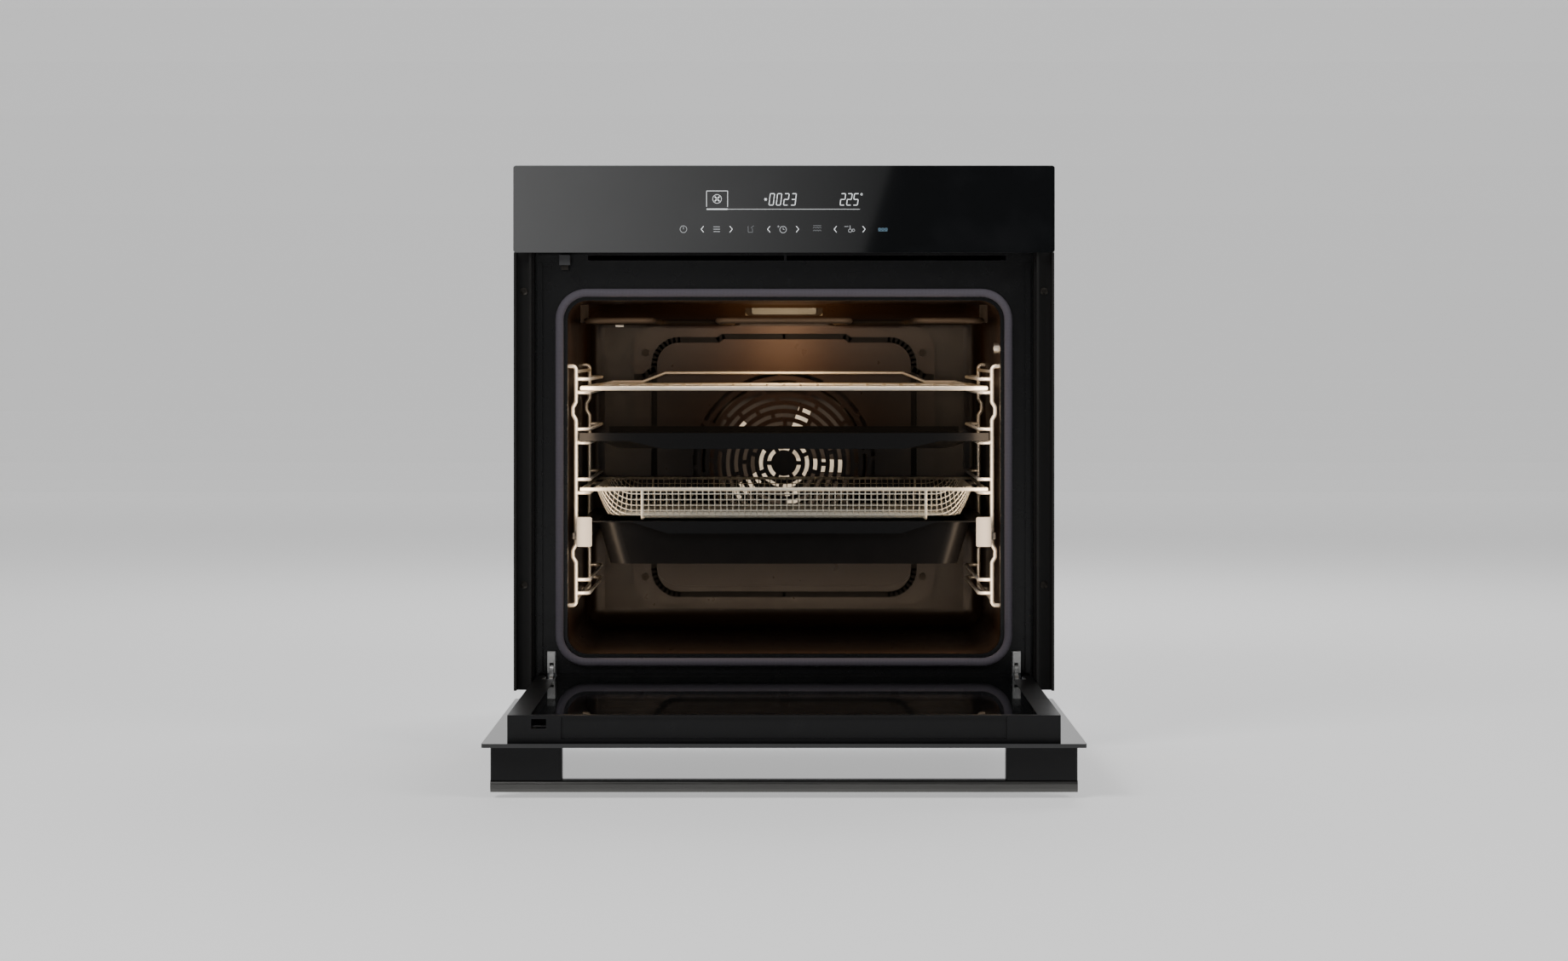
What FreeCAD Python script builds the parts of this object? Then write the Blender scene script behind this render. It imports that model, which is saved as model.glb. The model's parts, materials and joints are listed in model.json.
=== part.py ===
"""Built-in wall oven: housing, hot-air cavity, racks with four accessories, and a drop-down door.

Frame: +X right seen from the front, +Y into the cabinet, +Z up, millimetres.
Origin: the middle of the cabinet's face line on the underside of the base plate.
The door is drawn closed and laid open about its hinge line by one bound placement.
"""

import FreeCAD, Part
import Sketcher
import math
import os
import re

from FreeCAD import Rotation, Vector

doc = FreeCAD.newDocument("WallOven")
sheet = doc.addObject("Spreadsheet::Sheet", "Sizes")

# ---------------------------------------------------------------------------
# Driving dimensions. Each is set once here and lives in the spreadsheet.
# ---------------------------------------------------------------------------

SIZES = {
    # front faces
    "front_width": 595.0,
    "front_top": 594.0,
    "front_reach": 21.0,
    "glass_thick": 4.0,
    "glass_round": 3.0,
    "panel_height": 95.6,
    "panel_gap": 2.9,
    "door_foot": 12.0,
    # carcass
    "body_width": 556.0,
    "body_depth": 546.0,
    "sheet_thick": 1.0,
    "base_lip": 14.0,
    "toe_recess": 20.0,
    # enamelled frame round the cavity mouth
    "frame_set": 18.0,
    "frame_inset": 2.0,
    "frame_foot": 16.0,
    "edge_rib_width": 5.5,
    "edge_rib_proud": 5.0,
    "vent_floor": 490.5,
    "vent_height": 5.5,
    "vent_inner": 3.0,
    "vent_outer": 246.0,
    "panel_rim": 0.6,
    # side trims that carry the niche screws
    "trim_depth": 14.0,
    "screw_inset": 10.5,
    "trim_plate": 2.0,
    "trim_web_back": 40.0,
    "trim_foot": 16.0,
    "trim_rib": 2.8,
    "niche_screw_hole": 2.25,
    "niche_screw_low": 132.0,
    "niche_screw_high": 456.0,
    # cavity
    "cavity_width": 480.0,
    "cavity_floor": 54.0,
    "cavity_height": 392.0,
    "cavity_depth": 416.0,
    "cavity_round": 22.0,
    "flange_width": 10.0,
    "gasket_gap": 2.8,
    "gasket_width": 10.4,
    "gasket_height": 7.9,
    "gasket_round": 25.0,
    "wool_thick": 20.0,
    "wool_gap": 0.3,
    "floor_heater_room": 12.0,
    # hot-air fan and its cover
    "fan_height": 254.0,
    "fan_shaft": 4.0,
    "shaft_fit": 0.05,
    "wheel_radius": 72.0,
    "wheel_depth": 16.0,
    "blade_count": 5,
    "cover_proud": 31.0,
    "cover_sheet": 1.5,
    "cover_groove": 0.8,
    "cover_groove_width": 7.5,
    "cover_post": 6.0,
    "screw_shank": 2.0,
    "screw_head": 4.5,
    "screw_head_tall": 2.4,
    "cover_height": 336.0,
    "cover_round": 30.0,
    "cover_centre": 252.0,
    "cover_screw_spread": 271.0,
    "slot_width": 4.6,
    "slot_first": 18.0,
    "slot_pitch": 10.0,
    "slot_rings": 10,
    "slot_bridge": 5.0,
    "wheel_gap": 4.0,
    "hub_radius": 10.0,
    "blade_width": 19.0,
    "motor_boss": 12.0,
    "motor_depth": 44.0,
    "ring_heater_radius": 96.0,
    "ring_tail_out": 24.0,
    "heater_tube": 3.2,
    # grill element under the ceiling
    "grill_drop": 22.0,
    "grill_pitch": 74.0,
    "grill_bend": 12.0,
    "grill_front": 70.0,
    "grill_rear": 396.0,
    "grill_tail_out": 62.0,
    # cavity fittings
    "lamp_width": 80.0,
    "lamp_tall": 12.0,
    "lamp_deep": 9.0,
    "sensor_height": 423.0,
    "socket_height": 393.0,
    "socket_back": 62.0,
    "socket_radius": 6.0,
    "socket_bore": 3.2,
    "socket_proud": 5.0,
    # side racks
    "rack_wire": 2.2,
    "rack_wall_gap": 7.7,
    "guide_wall_gap": 22.5,
    "rack_front": 48.0,
    "rack_rear": 344.0,
    "rack_foot": 106.0,
    "rack_head": 373.0,
    "rack_jog": 3.6,
    "jog_half": 4.0,
    "jog_slope": 6.0,
    "guide_wire": 1.95,
    "guide_spacing": 15.0,
    "guide_pitch": 56.0,
    "guide_low": 119.7,
    "guide_bend": 7.0,
    # accessories
    "run_gap": 0.3,
    "tray_front": 36.0,
    "rim_overhang": 10.0,
    "flange_overhang": 10.5,
    "tray_rear": 398.0,
    "tray_sheet": 1.0,
    "shelf_bar": 2.6,
    "shelf_rim_wire": 2.3,
    "rim_bend": 12.0,
    "shelf_wire": 1.6,
    "shelf_pitch": 20.0,
    "shelf_guard": 14.5,
    "tray_drop": 10.0,
    "tray_lip": 8.8,
    "basket_bar": 2.0,
    "basket_rim_wire": 1.8,
    "basket_drop": 33.0,
    "basket_skin": 1.4,
    "basket_cradle": 1.6,
    "basket_cradle_out": 158.0,
    "pan_drop": 48.0,
    # telescopic runner pair
    "runner_layer": 2.9,
    "runner_floor": 178.0,
    "runner_top": 197.6,
    "runner_front": 52.0,
    "runner_rear": 392.0,
    "runner_plate_width": 17.0,
    "runner_plate_floor": 172.0,
    "runner_plate_height": 33.0,
    # door
    "hinge_line_y": 2.0,
    "hinge_line_z": 24.0,
    "door_inner_face": 9.5,
    "column_foot": 14.0,
    "column_head": 470.0,
    "door_trim_top": 478.0,
    "pane_gap": 0.2,
    "rail_height": 8.0,
    "air_slot_depth": 12.0,
    "middle_pane_set": 6.0,
    "lock_out": 242.0,
    "lock_slot_width": 14.6,
    "lock_slot_depth": 9.5,
    "lock_foot": 485.0,
    "lock_height": 11.0,
    # hinge hardware
    "hinge_pocket_width": 13.0,
    "hinge_pocket_head": 70.0,
    "case_head": 236.0,
    "case_back": 7.6,
    "arm_thick": 4.0,
    "arm_eye": 8.0,
    "hinge_pin": 3.0,
    "pin_fit": 0.06,
    "latch_width": 8.6,
    "latch_pivot_y": 12.0,
    "latch_pivot_z": 38.0,
    "latch_height": 19.6,
    "bracket_back": 62.0,
    "bracket_head": 62.0,
    # handle
    "handle_thick": 12.0,
    "handle_tall": 21.0,
    "handle_round": 4.0,
    "handle_off": 34.0,
    "handle_foot": 455.5,
    "handle_mount_width": 71.0,
    "screw_drop": 2.5,
    # cooling blower and electronics above the cavity
    "duct_floor": 476.0,
    "duct_height": 22.0,
    "duct_left": 226.0,
    "duct_right": 250.0,
    "duct_rear": 330.0,
    "blower_radius": 62.0,
    "blower_back": 408.0,
    "blower_tall": 34.0,
    "inlet_bore": 9.0,
    "inlet_out": 205.0,
    "cable_bore": 5.0,
    "inlet_height": 540.0,
}

# Places that follow from the sizes above, as formulas in the same words.
LINKS = {
    "front_half": "front_width / 2",
    "body_half": "body_width / 2",
    "front_face": "-front_reach",
    "glass_back": "glass_thick - front_reach",
    "panel_foot": "front_top - panel_height",
    "door_head": "panel_foot - panel_gap",
    "frame_back": "frame_set + sheet_thick",
    "cavity_half": "cavity_width / 2",
    "cavity_mouth": "frame_back + sheet_thick",
    "cavity_back": "cavity_mouth + cavity_depth",
    "cavity_roof": "cavity_floor + cavity_height",
    "back_skin": "cavity_back + sheet_thick",
    "gasket_half": "cavity_half + gasket_gap + gasket_width",
    "wool_inner": "cavity_half + sheet_thick + wool_gap",
    "wool_outer": "wool_inner + wool_thick",
    "wool_floor": "cavity_floor - sheet_thick - floor_heater_room",
    "wool_roof": "cavity_roof + sheet_thick + wool_gap",
    "wool_back": "back_skin + wool_gap",
    "wool_end": "wool_back + wool_thick",
    "strap_face": "wool_end + 1.5",
    "motor_face": "strap_face + 2",
    "ring_plane": "cavity_back - 15",
    "tail_end": "wool_end + 12",
    "wheel_back": "cavity_back - wheel_gap",
    "cover_face": "cavity_back - cover_proud",
    "cavity_middle": "cavity_floor + cavity_height / 2",
    "lamp_floor": "cavity_roof - lamp_tall - 1",
    "grill_level": "cavity_roof - grill_drop",
    "lock_head": "lock_foot + lock_height",
    "vent_bolt_edge": "25 - lock_out",
    "frame_mouth_side": "wool_inner + 0.2",
    "ledge_top": "runner_top + run_gap + 1.3",
    "bolt_front": "hinge_line_y - 4.6",
    "bolt_back": "bolt_front + 5.6",
    "pane_foot": "column_foot + rail_height + pane_gap",
    "case_front": "hinge_line_y - arm_eye - 1.8",
    "middle_pane_back": "door_inner_face - middle_pane_set - glass_thick - 1",
    "carrier_floor": "panel_foot + panel_rim",
    "skin_inner": "body_half - sheet_thick",
    "roof_under": "body_height - sheet_thick",
    "rear_face": "body_depth - sheet_thick",
    "frame_half": "body_half - frame_inset",
    "edge_rib_inner": "frame_half - 8.5",
    "trim_rib_inner": "body_half",
    "niche_screw_out": "front_half - screw_inset",
    "body_height": "front_top - 8",
    "rack_upright_out": "cavity_half - rack_wall_gap",
    "rack_jog_out": "rack_upright_out + rack_jog",
    "guide_out": "cavity_half - guide_wall_gap",
    "shelf_half": "guide_out + rim_overhang",
    "basket_half": "guide_out + rim_overhang",
    "tray_flange_half": "guide_out + flange_overhang",
    "pan_flange_half": "guide_out + flange_overhang",
    "runner_outer": "cavity_half - 10.1",
    "runner_plate_inner": "guide_out - 3.5",
    "tray_top_half": "guide_out - 6.5",
    "tray_foot_half": "guide_out - 29.5",
    "basket_top_half": "guide_out - 4",
    "basket_foot_half": "guide_out - 18.5",
    "pan_top_half": "guide_out - 8",
    "pan_foot_half": "guide_out - 21.5",
    "column_outer": "frame_half - 3",
    "column_inner": "frame_half - 25.5",
    "hinge_pocket_inner": "frame_half - 24.5",
    "arm_inner": "frame_half - 21",
    "latch_inner": "arm_inner - 1.8",
    "grill_half": "cavity_half - 18",
    "sensor_out": "cavity_half - 40",
    "cover_width": "cavity_width - 116",
    "cover_groove_half": "cover_width / 2 - 25",
    "cover_screw_out": "cover_width / 2 - 14.5",
    "handle_half": "front_half - 7.5",
}

WORD = re.compile(r"[a-z]+(?:_[a-z]+)+")


def fill_sheet():
    """Write one row for each size: its name beside its value."""
    for row, (alias, number) in enumerate(SIZES.items(), start=1):
        sheet.set(f"A{row}", alias)
        sheet.set(f"B{row}", str(number))
        sheet.setAlias(f"B{row}", alias)
    doc.recompute()


def formula(text):
    """Turn a formula in size words into one that the document can bind."""

    def swap(match):
        word = match.group(0)
        if word in LINKS:
            return "(" + formula(LINKS[word]) + ")"
        return "Sizes." + word

    return WORD.sub(swap, str(text))


def value(text):
    """The number that a formula in size words has now."""
    return float(sheet.evalExpression(formula(text)))


def bind(item, path, text):
    """Bind one property to a formula."""
    item.setExpression(path, formula(text))


def place(item, x, y, z, rotation=None):
    """Bind an item's place to three formulas, with a fixed rotation."""
    if rotation is not None:
        item.Placement = FreeCAD.Placement(Vector(), rotation)
    bind(item, "Placement.Base.x", x)
    bind(item, "Placement.Base.y", y)
    bind(item, "Placement.Base.z", z)
    return item


# ---------------------------------------------------------------------------
# Small builders: boxes, rods and booleans of the Part workbench
# ---------------------------------------------------------------------------

TURNS = {
    "x": Rotation(Vector(0, 1, 0), 90),
    "y": Rotation(Vector(1, 0, 0), -90),
    "z": Rotation(),
}


def box(name, x, y, z):
    """A block between two formulas on each axis."""
    item = doc.addObject("Part::Box", name)
    for side, span in (("Length", x), ("Width", y), ("Height", z)):
        bind(item, side, f"({span[1]}) - ({span[0]})")
    return place(item, x[0], y[0], z[0])


def rod(name, axis, start, length, radius):
    """A round bar from a start point along +X, +Y or +Z."""
    item = doc.addObject("Part::Cylinder", name)
    bind(item, "Radius", radius)
    bind(item, "Height", length)
    return place(item, *start, rotation=TURNS[axis])


def ring(name, axis, centre, major, minor):
    """A torus about an axis through a centre."""
    item = doc.addObject("Part::Torus", name)
    bind(item, "Radius1", major)
    bind(item, "Radius2", minor)
    return place(item, *centre, rotation=TURNS[axis])


def fuse(name, *items):
    """One solid from pieces that touch or overlap."""
    item = doc.addObject("Part::MultiFuse", name)
    item.Shapes = list(items)
    item.Refine = True
    return item


def group(name, *items):
    """Separate solids that share one node."""
    item = doc.addObject("Part::Compound", name)
    item.Links = list(items)
    return item


def cut(name, base, *tools):
    """A base less one tool or several."""
    item = doc.addObject("Part::Cut", name)
    item.Base = base
    item.Tool = tools[0] if len(tools) == 1 else group(f"{name}_cutters", *tools)
    return item


def mirror(name, source):
    """The same piece on the other side of the middle plane."""
    item = doc.addObject("Part::Mirroring", name)
    item.Source = source
    item.Base = Vector()
    item.Normal = Vector(1, 0, 0)
    return item


def feature(name, shape):
    """A piece whose shape is swept or lofted from values of the sheet."""
    item = doc.addObject("Part::Feature", name)
    item.Shape = shape
    item.Placement = FreeCAD.Placement()
    return item


def both_sides(name, builder):
    """A right-hand solid and its mirror image as one node of two solids."""
    right = builder(f"{name}_right")
    return group(name, right, mirror(f"{name}_left", right))


# ---------------------------------------------------------------------------
# PartDesign helpers: rounded plates, pockets and lofts in one body
# ---------------------------------------------------------------------------

def origin_plane(body, role):
    """One of a body's own origin planes, found by its role."""
    for item in body.Origin.OriginFeatures:
        if item.Role == role:
            return item
    raise ValueError(role)


def attach(body, sketch, role, x, y, z):
    """Lay a sketch parallel to an origin plane, with its middle at (x, y, z)."""
    sketch.AttachmentSupport = [(origin_plane(body, role), "")]
    sketch.MapMode = "FlatFace"
    offsets = {
        "XY_Plane": (x, y, z),
        "XZ_Plane": (x, z, f"-({y})"),
        "YZ_Plane": (y, z, x),
    }[role]
    for name, text in zip("xyz", offsets):
        bind(sketch, f"AttachmentOffset.Base.{name}", text)


def rounded_outline(sketch, label, width, height, radius):
    """A rounded rectangle about the sketch's middle, with three bound sizes."""
    w, h, r = value(width) / 2, value(height) / 2, value(radius)
    arcs = []
    lines = []
    corners = ((w - r, h - r, 0), (r - w, h - r, 90), (r - w, r - h, 180), (w - r, r - h, 270))
    normal = Vector(0, 0, 1)
    for cx, cy, turn in corners:
        circle = Part.Circle(Vector(cx, cy, 0), normal, r)
        first = math.radians(turn)
        arcs.append(sketch.addGeometry(Part.ArcOfCircle(circle, first, first + math.pi / 2)))
    ends = (
        ((w - r, h), (r - w, h)),
        ((-w, h - r), (-w, r - h)),
        ((r - w, -h), (w - r, -h)),
        ((w, r - h), (w, h - r)),
    )
    for (ax, ay), (bx, by) in ends:
        segment = Part.LineSegment(Vector(ax, ay, 0), Vector(bx, by, 0))
        lines.append(sketch.addGeometry(segment))
    constraint = Sketcher.Constraint
    for step in range(4):
        following = arcs[(step + 1) % 4]
        sketch.addConstraint(constraint("Tangent", arcs[step], 2, lines[step], 1))
        sketch.addConstraint(constraint("Tangent", lines[step], 2, following, 1))
    sketch.addConstraint(constraint("Horizontal", lines[0]))
    sketch.addConstraint(constraint("Vertical", lines[1]))
    sketch.addConstraint(constraint("Horizontal", lines[2]))
    sketch.addConstraint(constraint("Vertical", lines[3]))
    for other in arcs[1:]:
        sketch.addConstraint(constraint("Equal", arcs[0], other))
    sketch.addConstraint(constraint("Symmetric", arcs[0], 3, arcs[2], 3, -1, 1))
    spans = (
        ("radius", constraint("Radius", arcs[0], r), radius),
        ("width", constraint("DistanceX", arcs[1], 3, arcs[0], 3, 2 * (w - r)),
         f"({width}) - 2 * ({radius})"),
        ("height", constraint("DistanceY", arcs[3], 3, arcs[0], 3, 2 * (h - r)),
         f"({height}) - 2 * ({radius})"),
    )
    for kind, rule, text in spans:
        name = f"{label}_{kind}"
        index = sketch.addConstraint(rule)
        sketch.renameConstraint(index, name)
        bind(sketch, f"Constraints.{name}", text)


def rounded_sketch(body, name, role, centre, width, height, radius):
    """A sketch of one rounded rectangle about a centre."""
    sketch = body.newObject("Sketcher::SketchObject", name)
    attach(body, sketch, role, *centre)
    rounded_outline(sketch, "outline", width, height, radius)
    return sketch


def pad(body, sketch, length):
    """Thicken a sketch along its normal."""
    item = body.newObject("PartDesign::Pad", f"{sketch.Name}_pad")
    item.Profile = sketch
    bind(item, "Length", length)
    return item


def pocket(body, sketch, length):
    """Cut a sketch against its normal, through a stated depth."""
    item = body.newObject("PartDesign::Pocket", f"{sketch.Name}_pocket")
    item.Profile = sketch
    bind(item, "Length", length)
    return item


def slab(name, role, centre, width, height, radius, thick):
    """A rounded plate that starts at its centre plane and grows along the normal."""
    body = doc.addObject("PartDesign::Body", name)
    sketch = rounded_sketch(body, f"{name}_outline", role, centre, width, height, radius)
    pad(body, sketch, thick)
    return body


def loft(body, kind, name, role, sections):
    """An additive or subtractive loft through rounded rectangles."""
    sketches = []
    for step, section in enumerate(sections):
        sketches.append(rounded_sketch(body, f"{name}_section_{step}", role, *section))
    item = body.newObject(kind, name)
    item.Profile = sketches[0]
    item.Sections = sketches[1:]
    item.Ruled = True
    return item


# ---------------------------------------------------------------------------
# Bent wire: straight runs joined by tangent arcs, swept with a round section
# ---------------------------------------------------------------------------

def bent_path(points, bend):
    """A wire of lines and arcs through corner points, each corner rounded."""
    edges = []
    start = points[0]
    for corner, after in zip(points[1:-1], points[2:]):
        before = (corner - start).normalize()
        onward = (after - corner).normalize()
        half = before.getAngle(onward) / 2
        setback = bend * math.tan(half)
        enter = corner - before * setback
        leave = corner + onward * setback
        inward = (onward - before).normalize()
        middle = corner + inward * (bend / math.cos(half) - bend)
        edges.append(Part.LineSegment(start, enter).toShape())
        edges.append(Part.Arc(enter, middle, leave).toShape())
        start = leave
    edges.append(Part.LineSegment(start, points[-1]).toShape())
    return Part.Wire(edges)


def bent_wire(points, bend, radius):
    """A round wire bent through corner points."""
    spine = bent_path(points, bend)
    first = (points[1] - points[0]).normalize()
    profile = Part.Wire([Part.Circle(points[0], first, radius).toShape()])
    return spine.makePipeShell([profile], True, False)


def spot(x, y, z):
    """A point whose coordinates are formulas."""
    return Vector(value(x), value(y), value(z))


# ---------------------------------------------------------------------------
# Carcass: folded sheet round the back, sides, top and bottom
# ---------------------------------------------------------------------------

def base_plate():
    """A shallow folded tray set back from the door's swing."""
    y = ("toe_recess", "rear_face")
    blank = box("base_blank", ("-skin_inner", "skin_inner"), y, (0, "base_lip"))
    hollow = box(
        "base_hollow",
        ("sheet_thick - skin_inner", "skin_inner - sheet_thick"),
        ("toe_recess + sheet_thick", "rear_face - sheet_thick"),
        ("sheet_thick", "base_lip + sheet_thick"),
    )
    return cut("base_plate", blank, hollow)


def side_panel(name):
    """One flat side skin with a row of cooling slots near its top."""
    x = ("skin_inner", "body_half")
    blank = box(f"{name}_blank", x, ("toe_recess", "body_depth"), (0, "roof_under"))
    slots = []
    for step in range(5):
        rear = f"rear_face - 60 - {step} * 26"
        slots.append(box(f"{name}_slot_{step}", ("skin_inner - 1", "body_half + 1"),
                         (f"{rear} - 14", rear), ("roof_under - 80", "roof_under - 45")))
    return cut(name, blank, *slots)


def top_cover():
    """The roof skin, laid on the side panels and the rear cover."""
    return box("top_cover", ("-body_half", "body_half"), ("frame_back", "body_depth"),
               ("roof_under", "body_height"))


def rear_cover():
    """The back skin, with an outlet grille and the cable inlet hole."""
    blank = box("rear_blank", ("-skin_inner", "skin_inner"), ("rear_face", "body_depth"),
                ("sheet_thick", "roof_under"))
    through = ("rear_face - 1", "body_depth + 1")
    holes = []
    for step in range(6):
        low = f"roof_under - 90 + {step} * 12"
        holes.append(box(f"rear_slot_{step}", (-90, 90), through, (low, f"{low} + 5")))
    holes.append(rod("rear_inlet_hole", "y", ("-inlet_out", "rear_face - 1", "inlet_height"),
                     "sheet_thick + 2", "inlet_bore"))
    return cut("rear_cover", blank, *holes)


def front_frame():
    """The enamelled frame: flat face, raised side edges, air slots and hinge slots."""
    plate = box("frame_plate", ("-frame_half", "frame_half"), ("frame_set", "frame_back"),
                ("frame_foot", "carrier_floor"))
    mouth = slab("frame_mouth", "XZ_Plane", (0, "frame_back + 1", "cavity_middle"),
                 "cavity_width", "cavity_height", "cavity_round", "sheet_thick + 2")

    def edge_rib(name):
        stem = box(f"{name}_stem", ("edge_rib_inner", "edge_rib_inner + edge_rib_width"),
                   ("frame_set - edge_rib_proud", "frame_set + sheet_thick / 2"),
                   ("frame_foot + 18", "vent_floor - edge_rib_width"))
        cap = rod(f"{name}_cap", "y",
                  ("edge_rib_inner + edge_rib_width / 2", "frame_set - edge_rib_proud",
                   "vent_floor - edge_rib_width"),
                  "edge_rib_proud + sheet_thick / 2", "edge_rib_width / 2")
        return fuse(name, stem, cap)

    def hinge_slot(name):
        return box(name, ("latch_inner - 0.8", "latch_inner + latch_width + 0.8"),
                   ("frame_set - 1", "frame_back + 1"),
                   ("hinge_line_z - 7", "latch_pivot_z + latch_height"))

    rib = edge_rib("edge_rib_right")
    ribs = [rib, mirror("edge_rib_left", rib)]
    through = ("frame_set - 1", "frame_back + 1")
    tall = ("vent_floor", "vent_floor + vent_height")
    vent_right = box("frame_vent_right", ("vent_inner", "vent_outer"), through, tall)
    vent_left = box("frame_vent_left", ("vent_bolt_edge", 0), through, tall)
    slot = hinge_slot("hinge_slot_right")
    bolt_slot = box("frame_bolt_slot", ("-lock_out - 5.5", "5.5 - lock_out"), through,
                    ("lock_foot + 0.8", "lock_head - 0.8"))
    holes = [mouth, vent_right, vent_left, slot, mirror("hinge_slot_left", slot), bolt_slot]
    pierced = cut("frame_pierced", plate, *holes)
    return fuse("front_frame", pierced, *ribs)


def side_trim(name):
    """One mounting column: ribbed strip on the cabinet face and a web into the carcass."""
    z = ("trim_foot", "carrier_floor - pane_gap")
    strip = box(f"{name}_strip", ("frame_half", "front_half"), ("-trim_plate", 0), z)
    outer = box(f"{name}_outer_rib", ("front_half - trim_rib", "front_half"), ("-trim_depth", 0), z)
    inner = box(f"{name}_inner_rib", ("trim_rib_inner", "trim_rib_inner + trim_rib"),
                ("-trim_depth", 0), z)
    web = box(f"{name}_web", ("frame_half", "skin_inner"), ("-trim_plate", "trim_web_back"), z)
    column = fuse(f"{name}_column", strip, outer, inner, web)
    holes = []
    for level in ("niche_screw_low", "niche_screw_high"):
        holes.append(rod(f"{name}_{level}", "y", ("niche_screw_out", "-trim_plate - 1", level),
                         "trim_plate + 2", "niche_screw_hole"))
    return cut(name, column, *holes)


# ---------------------------------------------------------------------------
# Cavity, its seal and its wool jacket
# ---------------------------------------------------------------------------

def names_at(shape, kind, y):
    """Names of the edges or faces that lie wholly in one plane across Y."""
    found = []
    for number, piece in enumerate(getattr(shape, f"{kind}s"), start=1):
        bounds = piece.BoundBox
        if abs(bounds.YMin - y) < 0.01 and abs(bounds.YMax - y) < 0.01:
            found.append(f"{kind}{number}")
    return found


def cavity():
    """The enamelled muffle with coved corners, its mouth flange and its service holes."""
    body = doc.addObject("PartDesign::Body", "cavity_shell")
    middle = (0, "back_skin", "cavity_middle")
    skin = rounded_sketch(body, "muffle_outline", "XZ_Plane", middle,
                          "cavity_width + 2 * sheet_thick", "cavity_height + 2 * sheet_thick",
                          "cavity_round + sheet_thick")
    block = pad(body, skin, "back_skin - cavity_mouth")
    doc.recompute()
    cove = body.newObject("PartDesign::Fillet", "rear_cove")
    cove.Base = (block, names_at(block.Shape, "Edge", value("back_skin")))
    bind(cove, "Radius", "cavity_round + sheet_thick - 0.01")
    doc.recompute()
    hollow = body.newObject("PartDesign::Thickness", "muffle_wall")
    hollow.Base = (cove, names_at(cove.Shape, "Face", value("cavity_mouth")))
    bind(hollow, "Value", "sheet_thick")
    hollow.Reversed = True
    doc.recompute()
    flange = body.newObject("Sketcher::SketchObject", "flange_outline")
    attach(body, flange, "XZ_Plane", 0, "cavity_mouth", "cavity_middle")
    rounded_outline(flange, "mouth", "cavity_width", "cavity_height", "cavity_round")
    rounded_outline(flange, "rim", "cavity_width + 2 * flange_width",
                    "cavity_height + 2 * flange_width", "cavity_round")
    pad(body, flange, "sheet_thick")
    through = ("cavity_back - 2", "sheet_thick + 4")
    holes = [
        rod("cavity_fan_hole", "y", (0, through[0], "fan_height"), through[1], 9),
        rod("cavity_sensor_hole", "y", ("-sensor_out", through[0], "sensor_height"),
            through[1], 2.3),
        rod("cavity_socket_hole", "x", ("cavity_half - 2", "socket_back", "socket_height"),
            "sheet_thick + 4", "socket_radius - 1"),
        box("cavity_lamp_hole", ("-lamp_width / 2 - 7", "lamp_width / 2 + 7"),
            ("cavity_back - lamp_deep", "back_skin + 2"),
            ("lamp_floor - 0.5", "lamp_floor + lamp_tall + 0.5")),
    ]
    for name, out, level in HEATER_TAILS:
        holes.append(rod(f"cavity_{name}_hole", "y", (out, through[0], level), through[1],
                         "heater_tube + 0.8"))
    return cut("cavity", body, *holes)


HEATER_TAILS = (
    ("ring_tail_right", "ring_tail_out", "fan_height + ring_heater_radius"),
    ("ring_tail_left", "-ring_tail_out", "fan_height + ring_heater_radius"),
    ("grill_tail_right", "grill_tail_out", "grill_level"),
    ("grill_tail_left", "-grill_tail_out", "grill_level"),
)


def door_gasket():
    """The knitted seal round the cavity mouth, as a plain closed ring."""
    body = doc.addObject("PartDesign::Body", "door_gasket")
    sketch = body.newObject("Sketcher::SketchObject", "gasket_outline")
    attach(body, sketch, "XZ_Plane", 0, "frame_set", "cavity_middle")
    rounded_outline(sketch, "inside", "2 * (gasket_half - gasket_width)",
                    "cavity_height + 2 * gasket_gap", "gasket_round")
    rounded_outline(sketch, "outside", "2 * gasket_half",
                    "cavity_height + 2 * (gasket_gap + gasket_width)",
                    "gasket_round + gasket_width")
    pad(body, sketch, "gasket_height")
    return body


def insulation():
    """A wool jacket on five sides of the cavity, with a room for the floor heater."""
    blank = box("wool_blank", ("-wool_outer", "wool_outer"), ("cavity_mouth + 1", "wool_end"),
                ("wool_floor - wool_thick", "wool_roof + wool_thick"))
    hollow = box("wool_hollow", ("-wool_inner", "wool_inner"), ("cavity_mouth", "wool_back"),
                 ("wool_floor", "wool_roof"))
    through = "wool_thick + 2"
    start = "wool_back - 1"
    holes = [
        rod("wool_fan_hole", "y", (0, start, "fan_height"), through, 44),
        rod("wool_sensor_hole", "y", ("-sensor_out", start, "sensor_height"), through, 6),
        rod("wool_socket_hole", "x", ("wool_inner - 1", "socket_back", "socket_height"),
            through, "socket_radius + 3"),
        box("wool_lamp_hole", ("-lamp_width / 2 - 2", "lamp_width / 2 + 2"),
            (start, "wool_end + 1"), ("lamp_floor - 4", "lamp_floor + lamp_tall + 8")),
        box("wool_bracket_right", ("frame_mouth_side", "wool_outer + 1"),
            ("cavity_mouth", "bracket_back + 1"), ("wool_floor - wool_thick - 1", "bracket_head + 1")),
    ]
    holes.append(mirror("wool_bracket_left", holes[-1]))
    for name, out, level in HEATER_TAILS:
        holes.append(rod(f"wool_{name}_hole", "y", (out, start, level), through, 7))
    return cut("insulation", blank, hollow, *holes)


# ---------------------------------------------------------------------------
# Hot-air fan, its heater, motor and slotted cover
# ---------------------------------------------------------------------------

def turned(name, source, angle):
    """A copy of a piece turned about the Y axis."""
    item = group(name, source)
    item.Placement = FreeCAD.Placement(Vector(), Rotation(Vector(0, 1, 0), angle))
    return item


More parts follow.
